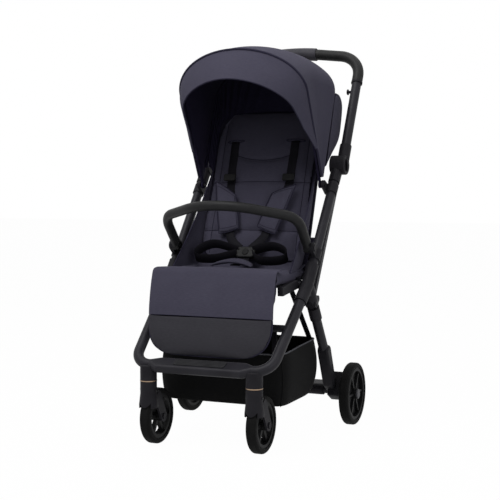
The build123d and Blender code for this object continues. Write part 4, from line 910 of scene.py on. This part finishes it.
hood = lined(cloth_grid("hood_cloth", hood_point, *HOOD_CELLS, ("navy", "lining")), COVER_T)
place(hood, "backrest", "navy_fabric", "backrest_hood")

# Seat sides: cloth gussets from the seat up to the backrest, with a bound front edge
WING_X, WING_FRONT_Y, WING_FRONT_Z = 164, -138, 424
WING_REAR_X, WING_FOOT, WING_TOP, WING_OUT = 151, 0, 285, -18
WING_BOW, WING_BOW_WAY, WING_BULGE = 9 * MM, Vector((0, 1, -0.6)), 4 * MM
WING_T, WING_BINDING_R = 2.0 * MM, 1.8 * MM
WING_CELLS, WING_RINGS = 20, 40


def wing_point(sign):
    top = on_panel(BACK, sign * WING_REAR_X, WING_TOP, WING_OUT)
    base = Vector((sign * WING_X, WING_FRONT_Y, WING_FRONT_Z)) * MM

    def point(u, v):
        rear = on_panel(BACK, sign * WING_REAR_X, WING_FOOT + (WING_TOP - WING_FOOT) * v, WING_OUT)
        front = base.lerp(top, v) + WING_BOW_WAY * (WING_BOW * sin(pi * v))
        bulge = Vector((sign * WING_BULGE * sin(pi * u) * sin(pi * v), 0, 0))
        return rear.lerp(front, u) + bulge

    return point


for sign, hand in HANDS:
    point = wing_point(sign)
    sheet = cloth_grid(f"seat_side_{hand}", point, WING_CELLS, WING_CELLS, ("navy",))
    wing = lined(sheet, WING_T, offset=0)
    steps = np.linspace(0, 1, WING_CELLS + 1)
    shares_back = np.tile(1 - np.outer(1 - steps, steps).ravel(), 2)
    between(wing, "chassis", "backrest", shares_back, "navy_fabric", *for_both(hand, "seat_wings"))
    heights = np.arange(WING_RINGS) / WING_RINGS
    bound = welt(f"seat_side_binding_{hand}", [point(1, v) for v in heights], WING_BINDING_R, "piping")
    between(bound, "chassis", "backrest", np.repeat(heights, WELT_SIDES), "navy_fabric")

# Skirts: the seat's cloth, turned down over the sides of the pan
SKIRT_LINE = through([(140, 0, 427), (153, 0, 430), (164.5, 0, 421), (165, 0, 409), (160, 0, 401)], steps=4)
SKIRT_FRONT, SKIRT_REAR = -228, -34
SKIRT_CELLS, SKIRT_T = (24, 16), 1.6 * MM


def skirt_point(sign):
    def point(u, v):
        spot = along_line(SKIRT_LINE, v)
        y = SKIRT_FRONT + (SKIRT_REAR - SKIRT_FRONT) * u
        return Vector((sign * spot.x, y, spot.z)) * MM

    return point


for sign, hand in HANDS:
    sheet = cloth_grid(f"seat_skirt_{hand}", skirt_point(sign), *SKIRT_CELLS, ("navy",))
    skirt = lined(sheet, SKIRT_T, offset=0)
    place(skirt, "chassis", "navy_fabric")


# Harness: shoulder webbing, pads, lap loops and crotch webbing

STRAP_W, STRAP_T, STRAP_LIFT = 24 * MM, 1.6 * MM, 1.4
PAD_CORNERS = {
    "left": [(-56, 201), (-126, 244), (-92, 87), (-33, 105)],
    "right": [(45, 206), (115, 234), (72, 87), (15, 110)],
}
PAD_OUT, PAD_THICK, PAD_INSET = 12, 14 * MM, 0.84
PAD_CELLS, PAD_CAP = (14, 28), 3 * MM
STITCH_R, STITCH_LIFT = 0.5, 0.1
STRAP_FOOT = {"left": -62, "right": 43}
STRAP_MARKS = ((88, 360), (87.5, 320), (86.5, 280), (85, 244), (82, 218))
# Under the pads: outward step, share of the foot's place, height, and distance off the backrest
UNDER_MARKS = ((37, 0.5, 170, 5.5), (5, 1.0, 120, 5.5), (0, 1.0, 92, 7))
# From the pads to the buckle: share of the foot's place, height, and distance off the backrest
TAIL_MARKS = ((1.0, 96, 7), (0.9, 82, 11), (0.72, 67, 17), (0.5, 55, 21), (0.3, 46, 21))
for sign, hand in HANDS:
    foot_x = STRAP_FOOT[hand]
    start = on_panel(BACK, sign * SLOT_X, SLOT_UP, -SLOT_DEEP)
    upper = laid_on(back_pad, BACK, [(sign * x, up) for x, up in STRAP_MARKS], STRAP_LIFT)
    under = [(sign * step + foot_x * share, up, out) for step, share, up, out in UNDER_MARKS]
    line = [start, *upper, *(on_panel(BACK, *mark) for mark in under)]
    run = strap(f"shoulder_strap_{hand}", line, BACK[2], STRAP_W, STRAP_T)
    place(run, "backrest", "webbing", *for_both(hand, "shoulder_straps"))

    tail_marks = [on_panel(BACK, foot_x * share, up, out) for share, up, out in TAIL_MARKS]
    tail_line = through(tail_marks, steps=8)
    tail = strap(f"strap_tail_{hand}", tail_line, BACK[2], STRAP_W, STRAP_T)
    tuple(tail_line[0])
    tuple(tail_line[-1])
    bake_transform(tail)

    corners = PAD_CORNERS[hand]
    shoulder_pad = pillow(
        f"shoulder_pad_{hand}",
        lambda a, b: on_panel(BACK, *quad(corners, a, b), PAD_OUT),
        BACK[2],
        PAD_THICK,
        *PAD_CELLS,
        "navy",
        PAD_CAP,
    )
    lay_uv(shoulder_pad, (1, 0, 0), BACK[1])
    place(shoulder_pad, "backrest", "navy_fabric", *for_both(hand, "shoulder_pads"))
    rim = [on_panel(BACK, x, up, PAD_OUT) for x, up in quad_edge(corners)]
    piped(f"shoulder_piping_{hand}", rim, PIPING_R, "backrest", closed=True)
    stitch = laid_on(shoulder_pad, BACK, quad_edge(corners, PAD_INSET), STITCH_LIFT, steps=1)[:-1]
    stitched(f"shoulder_stitch_{hand}", stitch, STITCH_R, "backrest", closed=True)

LAP_W, LAP_AXIS = 26 * MM, Vector((0, -0.4, 0.92))
LAP = {
    "left": [
        (-22, -34, 472), (-52, -32, 481), (-90, -33, 488),
        (-122, -40, 478), (-136, -50, 463), (-131, -62, 453),
        (-106, -68, 450), (-68, -62, 452), (-22, -40, 464),
    ],
    "right": [
        (22, -34, 472), (48, -33, 480), (82, -35, 484),
        (114, -44, 474), (124, -56, 459), (112, -68, 451),
        (78, -74, 448), (46, -62, 451), (22, -40, 464),
    ],
}
for hand, marks in LAP.items():
    line = through([Vector(p) * MM for p in marks], steps=8)
    lap = strap(f"lap_strap_{hand}", line, LAP_AXIS, LAP_W, STRAP_T, edge_on=True)
    place(lap, "chassis", "webbing", *for_both(hand, "lap_straps"))

CROTCH = [(0, -34, 458), (0, -48, 446), (0, -66, 440.5), (0, -88, 439), (0, -104, 437)]
crotch_line = through([Vector(p) * MM for p in CROTCH], steps=8)
CROTCH_W, CROTCH_T, CROTCH_OUT = 28 * MM, 2.4 * MM, Vector((0, -0.6, 1))
place(strap("crotch_strap", crotch_line, CROTCH_OUT, CROTCH_W, CROTCH_T), "chassis", "webbing")
CROTCH_CORNERS = [(-48, 40), (48, 40), (64, -8), (-64, -8)]
CROTCH_LOW, CROTCH_ARCH, CROTCH_TIP = 26, 12, 2
CROTCH_THICK, CROTCH_CELLS = 10 * MM, (22, 10)


def crotch_middle(a, b):
    out = CROTCH_LOW + CROTCH_ARCH * (1 - a * a) + CROTCH_TIP * b
    return on_panel(SEAT, *quad(CROTCH_CORNERS, a, b), out)


crotch_pad = pillow("crotch_pad", crotch_middle, SEAT[2], CROTCH_THICK, *CROTCH_CELLS, "navy", PAD_CAP)
lay_uv(crotch_pad, (1, 0, 0), (0, 1, 0))
place(crotch_pad, "chassis", "navy_fabric")


# Basket: a sagging cloth tub with a piped rim

BASKET_HALF, BASKET_FLOOR, BASKET_RIM, BASKET_MIDDLE = 170, 98, 240, -90
BASKET_FRONT = ((98, -194), (240, -200))
BASKET_REAR = ((98, 14), (112, 38), (140, 52), (190, 54), (240, 54))
BASKET_ROUND = 9.0
BASKET_BULGE, FRONT_BULGE, REAR_BULGE, FOOT_DRAW = 7, 3, 12, 2
RIM_DIP, RIM_LIFT, RIM_LEVEL = 7, 2, 0.8
FLOOR_SHARE = 0.34
BAG_CELLS, BAG_T, BAG_WELD = (96, 36), 2.0 * MM, 0.5 * MM
RIM_R, RIM_STEPS = 2.0 * MM, 120
CORNER_R, CORNER_STEPS, CORNER_SLOPE = 1.0 * MM, 30, 0.96


def basket_ring(turn, share):
    """Point of the basket wall at a turn round it and a share of its height."""
    c, s = cos(turn), sin(turn)
    size = (abs(c) ** BASKET_ROUND + abs(s) ** BASKET_ROUND) ** (-1 / BASKET_ROUND)
    z = BASKET_FLOOR + (BASKET_RIM - BASKET_FLOOR) * share
    full = sin(pi * share)
    front = np.interp(z, *zip(*BASKET_FRONT)) - FRONT_BULGE * full
    rear = np.interp(z, *zip(*BASKET_REAR)) + REAR_BULGE * full
    half = BASKET_HALF + BASKET_BULGE * full - FOOT_DRAW * (1 - share)
    y = (front + rear) / 2 + (rear - front) / 2 * s * size
    dip = RIM_DIP * share * (RIM_LEVEL - s * size) - RIM_LIFT * share * abs(cos(2 * turn))
    return Vector((half * c * size, y, z - max(dip, 0))) * MM


def basket_point(u, v):
    turn = 2 * pi * u
    if v < FLOOR_SHARE:
        middle = Vector((0, BASKET_MIDDLE, BASKET_FLOOR)) * MM
        return middle.lerp(basket_ring(turn, 0.0), v / FLOOR_SHARE)
    return basket_ring(turn, (v - FLOOR_SHARE) / (1 - FLOOR_SHARE))


bag = cloth_grid("basket_bag", basket_point, *BAG_CELLS, ("basket",), round_trip=True)
shown_alone(bag)
bpy.ops.object.mode_set(mode="EDIT")
bpy.ops.mesh.select_all(action="SELECT")
bpy.ops.mesh.remove_doubles(threshold=BAG_WELD)
bpy.ops.object.mode_set(mode="OBJECT")
modify(bag, "SMOOTH", factor=0.5, iterations=2)
lined(bag, BAG_T)
place(bag, "chassis", "black_fabric", "basket")
rim_line = [basket_ring(2 * pi * k / RIM_STEPS, 1.0) for k in range(RIM_STEPS)]
place(welt("basket_rim_piping", rim_line, RIM_R, "pale_piping", closed=True), "chassis", "black_fabric")
CORNER_TURNS = [atan2(s, c) for s in (CORNER_SLOPE, -CORNER_SLOPE) for c in (1, -1)]
for k, turn in enumerate(CORNER_TURNS):
    line = [basket_ring(turn, s / CORNER_STEPS) for s in range(CORNER_STEPS + 1)]
    place(welt(f"basket_corner_seam_{k}", line, CORNER_R, "basket"), "chassis", "black_fabric")


# Small rigid fittings, with their sizes and places in millimetres

FACING = 0.9
# Rounding of a cap as a share of its height, its second inset and a block's rounding as shares of the lip
CAP_EDGE, SECOND_LIP, BLOCK_EDGE = 0.18, 0.5, 0.45
# Radius, height, lip and sink of each cap
AXLE_CAP, RIVET, SCREW = (7.5, 4, 2, -0.6), (4, 3, 1.2, 0.5), (6, 3, 2, -0.8)
HUB_CAP, FOLD_CAP, SOCKET_CAP = (13, 5, 3, 0.8), (11, 4, 2.5, 0.5), (9, 3.4, 2.4, -0.6)
COLLAR, FOLD_STRETCH = (15.8, 7, 1, 0.0), 1.6


def pick_faces(obj, along):
    """Select the faces that face along a direction, in edit mode."""
    bpy.ops.mesh.select_mode(type="FACE")
    bpy.ops.mesh.select_all(action="DESELECT")
    shape = bmesh.from_edit_mesh(obj.data)
    for face in shape.faces:
        face.select_set(along(face.normal) > FACING)
    bmesh.update_edit_mesh(obj.data)


def begun(primitive, **settings):
    """Add a primitive with nothing else selected, and open it for editing."""
    bpy.ops.object.select_all(action="DESELECT")
    primitive(**settings)
    bpy.ops.object.mode_set(mode="EDIT")
    return bpy.context.object


def moulded(obj, edge, material):
    """Close a fitting, round its edges and give it its material."""
    bpy.ops.object.mode_set(mode="OBJECT")
    modify(obj, "BEVEL", width=edge * MM, segments=3, limit_method="ANGLE")
    obj.data.materials.append(FINISH[material])
    return smooth(obj)


def boss(radius, height, lip, sink, material, stretch=1.0):
    """Moulded cap facing up Z: a disc whose middle is inset and moved by sink, with softened edges."""
    obj = begun(bpy.ops.mesh.primitive_cylinder_add, vertices=40, radius=radius * MM, depth=height * MM)
    pick_faces(obj, lambda normal: normal.z)
    bpy.ops.mesh.inset(thickness=lip * MM)
    bpy.ops.transform.translate(value=(0, 0, sink * MM))
    bpy.ops.mesh.inset(thickness=lip * SECOND_LIP * MM)
    bpy.ops.mesh.select_all(action="SELECT")
    bpy.ops.transform.resize(value=(stretch, 1, 1))
    return moulded(obj, height * CAP_EDGE, material)


def copied(master, name, at, turn):
    """Copy of a fitting with its own mesh, set at a place in millimetres and turned."""
    obj = master.copy()
    obj.data = master.data.copy()
    obj.name = obj.data.name = name
    bpy.context.scene.collection.objects.link(obj)
    obj.location = Vector(at) * MM
    obj.rotation_euler = turn
    shown_alone(obj)
    bpy.ops.object.transform_apply(location=True, rotation=True, scale=True)
    return obj


def both_hands(name, at, body, tilt=0.0, aside=pi / 2):
    """Rows for a fitting on the left and the right, tilted about X and turned aside to face outwards."""
    rows = []
    for sign, hand in HANDS:
        spot, turn = (sign * at[0], *at[1:]), (tilt, sign * aside, 0)
        rows.append((f"{name}_{hand}", spot, turn, body.format(hand)))
    return rows


def fittings(master, slot, rows):
    """Copies of one fitting, each with its name, place, turn and body; the first one modelled is removed."""
    for name, at, turn, body in rows:
        place(copied(master, name, at, turn), body, slot)
    bpy.data.objects.remove(master)


CASTER_X, CASTER_Y = 141, -307
FRONT_AXLE_Y, FRONT_AXLE_Z = -265, 69
FORK_SIDE, RIVET_SIDE, RIVET_Z = 22, 20.2, 141
fork_caps, fork_rivets = [], []
for sign, hand in HANDS:
    for way, part in ((1, "outer"), (-1, "inner")):
        cap_x, rivet_x = (sign * (CASTER_X + way * side) for side in (FORK_SIDE, RIVET_SIDE))
        turn, fork = (0, sign * way * pi / 2, 0), f"caster_{hand}"
        fork_caps.append((f"axle_cap_{hand}_{part}", (cap_x, FRONT_AXLE_Y, FRONT_AXLE_Z), turn, fork))
        fork_rivets.append((f"fork_rivet_{hand}_{part}", (rivet_x, CASTER_Y, RIVET_Z), turn, fork))
fittings(boss(*AXLE_CAP, "nylon"), "frame_moulding", fork_caps)
fittings(boss(*RIVET, "oxide"), "black_pin", fork_rivets)

HUB_CAP_AT, SCREW_AT, SOCKET_CAP_AT = (256, 132, 83), (184.6, 65, 645), (204, -66, 484)
FOLD_CAP_X, FOLD_Y, FOLD_Z, HANDLE_LEAN = 219.6, 142, 697, radians(28)
fold_caps = both_hands("fold_cap", (FOLD_CAP_X, FOLD_Y, FOLD_Z), "handle", -HANDLE_LEAN)
fittings(boss(*HUB_CAP, "cap"), "wheel", both_hands("hub_cap", HUB_CAP_AT, "rear_wheel_{}"))
fittings(boss(*FOLD_CAP, "nylon", FOLD_STRETCH), "frame_moulding", fold_caps)
fittings(boss(*SCREW, "oxide"), "black_pin", both_hands("canopy_screw", SCREW_AT, "chassis"))
socket_caps = both_hands("socket_cap", SOCKET_CAP_AT, "chassis")
fittings(boss(*SOCKET_CAP, "nylon"), "frame_moulding", socket_caps)

HANDLE_X, GRIP_START = 207, 262
collar_at = (HANDLE_X, FOLD_Y + GRIP_START * sin(HANDLE_LEAN), FOLD_Z + GRIP_START * cos(HANDLE_LEAN))
collars = both_hands("grip_collar", collar_at, "handle", -HANDLE_LEAN, 0.0)
fittings(boss(*COLLAR, "nylon"), "frame_moulding", collars)

RIB_SIZE, RIB_EDGE, RIB_STEPS = (122, 2.2, 1.6), 0.7, (-9, -3, 3, 9)
TREAD_Y, TREAD_Z, TREAD_TILT, TREAD_TOP = -306, 203, radians(20), 13.6


def tread_rib():
    """Low rounded rib along X."""
    obj = begun(bpy.ops.mesh.primitive_cube_add, size=1)
    bpy.ops.transform.resize(value=[length * MM for length in RIB_SIZE])
    bpy.ops.mesh.bevel(offset=RIB_EDGE * MM, segments=3)
    bpy.ops.object.mode_set(mode="OBJECT")
    obj.data.materials.append(FINISH["tread"])
    return smooth(obj)


ribs = []
for k, step in enumerate(RIB_STEPS):
    y = TREAD_Y + step * cos(TREAD_TILT) - TREAD_TOP * sin(TREAD_TILT)
    z = TREAD_Z + step * sin(TREAD_TILT) + TREAD_TOP * cos(TREAD_TILT)
    ribs.append((f"tread_rib_{k}", (0, y, z), (TREAD_TILT, 0, 0), "chassis"))
fittings(tread_rib(), "frame_moulding", ribs)


def moulded_block(size, lip, sink):
    """Moulded box facing X: its side is inset and moved by sink, and its edges are rounded."""
    obj = begun(bpy.ops.mesh.primitive_cube_add, size=1)
    bpy.ops.transform.resize(value=[length * MM for length in size])
    pick_faces(obj, lambda normal: abs(normal.x))
    bpy.ops.mesh.inset(thickness=lip * MM)
    bpy.ops.transform.resize(value=(1 + 2 * sink / size[0], 1, 1))
    return moulded(obj, lip * BLOCK_EDGE, "nylon")


# Brackets under the seat's edges, and the brake housings by the rear wheels
RAIL_SIZE, RAIL_AT, RAIL_TILT = (16, 104, 22), (168, -160, 389), radians(6)
RAIL_LIP, RAIL_SINK, BRAKE_LIP, BRAKE_RISE = 5, -1.5, 7, 1.5
rails = both_hands("seat_rail", RAIL_AT, "chassis", RAIL_TILT, 0.0)
fittings(moulded_block(RAIL_SIZE, RAIL_LIP, RAIL_SINK), "frame_moulding", rails)
BRAKE_SIZE, BRAKE_AT, BRAKE_TILT = (34, 40, 68), (206, 106, 106), radians(-28)
brakes = both_hands("brake_housing", BRAKE_AT, "rear_legs", BRAKE_TILT, 0.0)
fittings(moulded_block(BRAKE_SIZE, BRAKE_LIP, BRAKE_RISE), "frame_moulding", brakes)


# Finishes of the frame's own pieces

DRESS = {
    "tube": [
        "main_tubes", "front_legs", "front_crossbar", "cross_tubes",
        "handle_tubes", "rear_leg_tubes", "rear_cross_tube", "fold_links",
    ],
    "nylon": [
        "hubs", "fold_joint_inner", "fold_joint_outer", "caster_posts", "canopy_clips", "bumper_sockets",
        "accessory_stud", "rear_leg_knuckles", "rear_axle_housings", "brake_pedal", "fork_left", "fork_right",
    ],
    "wheel": ["front_rim_left", "front_rim_right", "rear_rim_left", "rear_rim_right"],
    "tyre": ["front_tyre_left", "front_tyre_right", "rear_tyre_left", "rear_tyre_right"],
    "oxide": ["pivot_pins"],
    "steel": ["rear_axles"],
    "ring": ["post_trim_rings"],
    "tread": ["foot_tread"],
    "grip": ["handle_grips"],
    "bumper": ["bumper_bar"],
    "housing": ["handle_housing"],
    "acetal": [
        "fold_button", "strap_adjusters", "buckle_button", "bumper_button_left", "bumper_button_right",
    ],
    "buckle": ["harness_buckle"],
    "board": ["seat_pan", "legrest_board"],
    "back": ["backrest_frame"],
    "sleeve": ["canopy_front_bow", "canopy_rear_bow"],
    "webbing": ["basket_straps"],
}
for finish, names in DRESS.items():
    for name in names:
        NODES[name].data.materials.clear()
        NODES[name].data.materials.append(FINISH[finish])


# Stage, light and camera

WHITE = (1.0, 1.0, 1.0, 1.0)
FLOOR_GLOW, SKY_LIGHT = 0.985, 0.16
FLOOR_SIDE, FLOOR_DROP = 40, 0.3 * MM
# Place, aim, side in metres and watts of each lamp
SOFTBOXES = {
    "key": ((-0.6, -1.7, 3.4), (0, 0, 0.6), 1.8, 82),
    "fill": ((2.6, -1.4, 1.4), (0, 0, 0.5), 2.2, 20),
    "top": ((0.3, 0.8, 3.0), (0, 0, 0.6), 2.0, 16),
}


def seen_directly(tree):
    """1 for rays from the camera, or mirrored or passed by a surface, else 0."""
    path = add(tree, "ShaderNodeLightPath").outputs
    first = {0: path["Is Camera Ray"], 1: path["Is Glossy Ray"]}
    either = add(tree, "ShaderNodeMath", first, operation="MAXIMUM").outputs[0]
    last = {0: either, 1: path["Is Transmission Ray"]}
    return add(tree, "ShaderNodeMath", last, operation="MAXIMUM").outputs[0]


def studio_floor():
    """Matt white floor that keeps a soft shadow."""
    material = bpy.data.materials.new("white_floor")
    material.use_nodes = True
    tree = material.node_tree
    tree.nodes.clear()
    matt = add(tree, "ShaderNodeBsdfDiffuse", {"Color": linear("f4f4f4")}).outputs[0]
    glow = add(tree, "ShaderNodeEmission", {"Color": WHITE, "Strength": 1.0}).outputs[0]
    glowing = {0: seen_directly(tree), 1: FLOOR_GLOW}
    share = add(tree, "ShaderNodeMath", glowing, operation="MULTIPLY").outputs[0]
    mixed = add(tree, "ShaderNodeMixShader", {0: share, 1: matt, 2: glow}).outputs[0]
    add(tree, "ShaderNodeOutputMaterial", {"Surface": mixed})
    bpy.ops.object.select_all(action="DESELECT")
    bpy.ops.mesh.primitive_plane_add(size=FLOOR_SIDE, location=(0, 0, -FLOOR_DROP))
    floor = bpy.context.object
    floor.name = "studio_floor"
    floor.data.materials.append(material)


def studio_world():
    world = bpy.data.worlds.new("white_studio")
    world.use_nodes = True
    tree = world.node_tree
    tree.nodes.clear()
    shade = add(tree, "ShaderNodeBackground", {"Color": linear("e8ebf0"), "Strength": SKY_LIGHT}).outputs[0]
    white = add(tree, "ShaderNodeBackground", {"Color": WHITE, "Strength": 1.0}).outputs[0]
    mixed = add(tree, "ShaderNodeMixShader", {0: seen_directly(tree), 1: shade, 2: white}).outputs[0]
    add(tree, "ShaderNodeOutputWorld", {"Surface": mixed})
    bpy.context.scene.world = world


def softbox(name, at, aim, size, power):
    lamp = bpy.data.lights.new(name, "AREA")
    lamp.size = size
    lamp.energy = power
    obj = bpy.data.objects.new(name, lamp)
    obj.location = at
    obj.rotation_euler = (Vector(aim) - Vector(at)).to_track_quat("-Z", "Y").to_euler()
    bpy.context.scene.collection.objects.link(obj)


PHOTO_SIDE = 500
PHOTO_FOCAL = 1063
PHOTO_CENTRE = (256, 248)
CAMERA_TARGET = Vector((0, 0.035, 0.475))
CAMERA_DISTANCE, CAMERA_AZIMUTH, CAMERA_ELEVATION = 2.85, radians(23.0), radians(2.91)


def photo_camera():
    flat = cos(CAMERA_ELEVATION)
    back = Vector((sin(CAMERA_AZIMUTH) * flat, -cos(CAMERA_AZIMUTH) * flat, sin(CAMERA_ELEVATION)))
    lens = bpy.data.cameras.new("photo_camera")
    lens.lens = lens.sensor_width * PHOTO_FOCAL / PHOTO_SIDE
    lens.shift_x = (PHOTO_SIDE / 2 - PHOTO_CENTRE[0]) / PHOTO_SIDE
    lens.shift_y = (PHOTO_CENTRE[1] - PHOTO_SIDE / 2) / PHOTO_SIDE
    camera = bpy.data.objects.new("photo_camera", lens)
    camera.location = CAMERA_TARGET + back * CAMERA_DISTANCE
    camera.rotation_euler = (-back).to_track_quat("-Z", "Y").to_euler()
    bpy.context.scene.collection.objects.link(camera)
    bpy.context.scene.camera = camera


studio_floor()
studio_world()
for name, settings in SOFTBOXES.items():
    softbox(name, *settings)
photo_camera()
bpy.context.scene.view_settings.view_transform = "Standard"
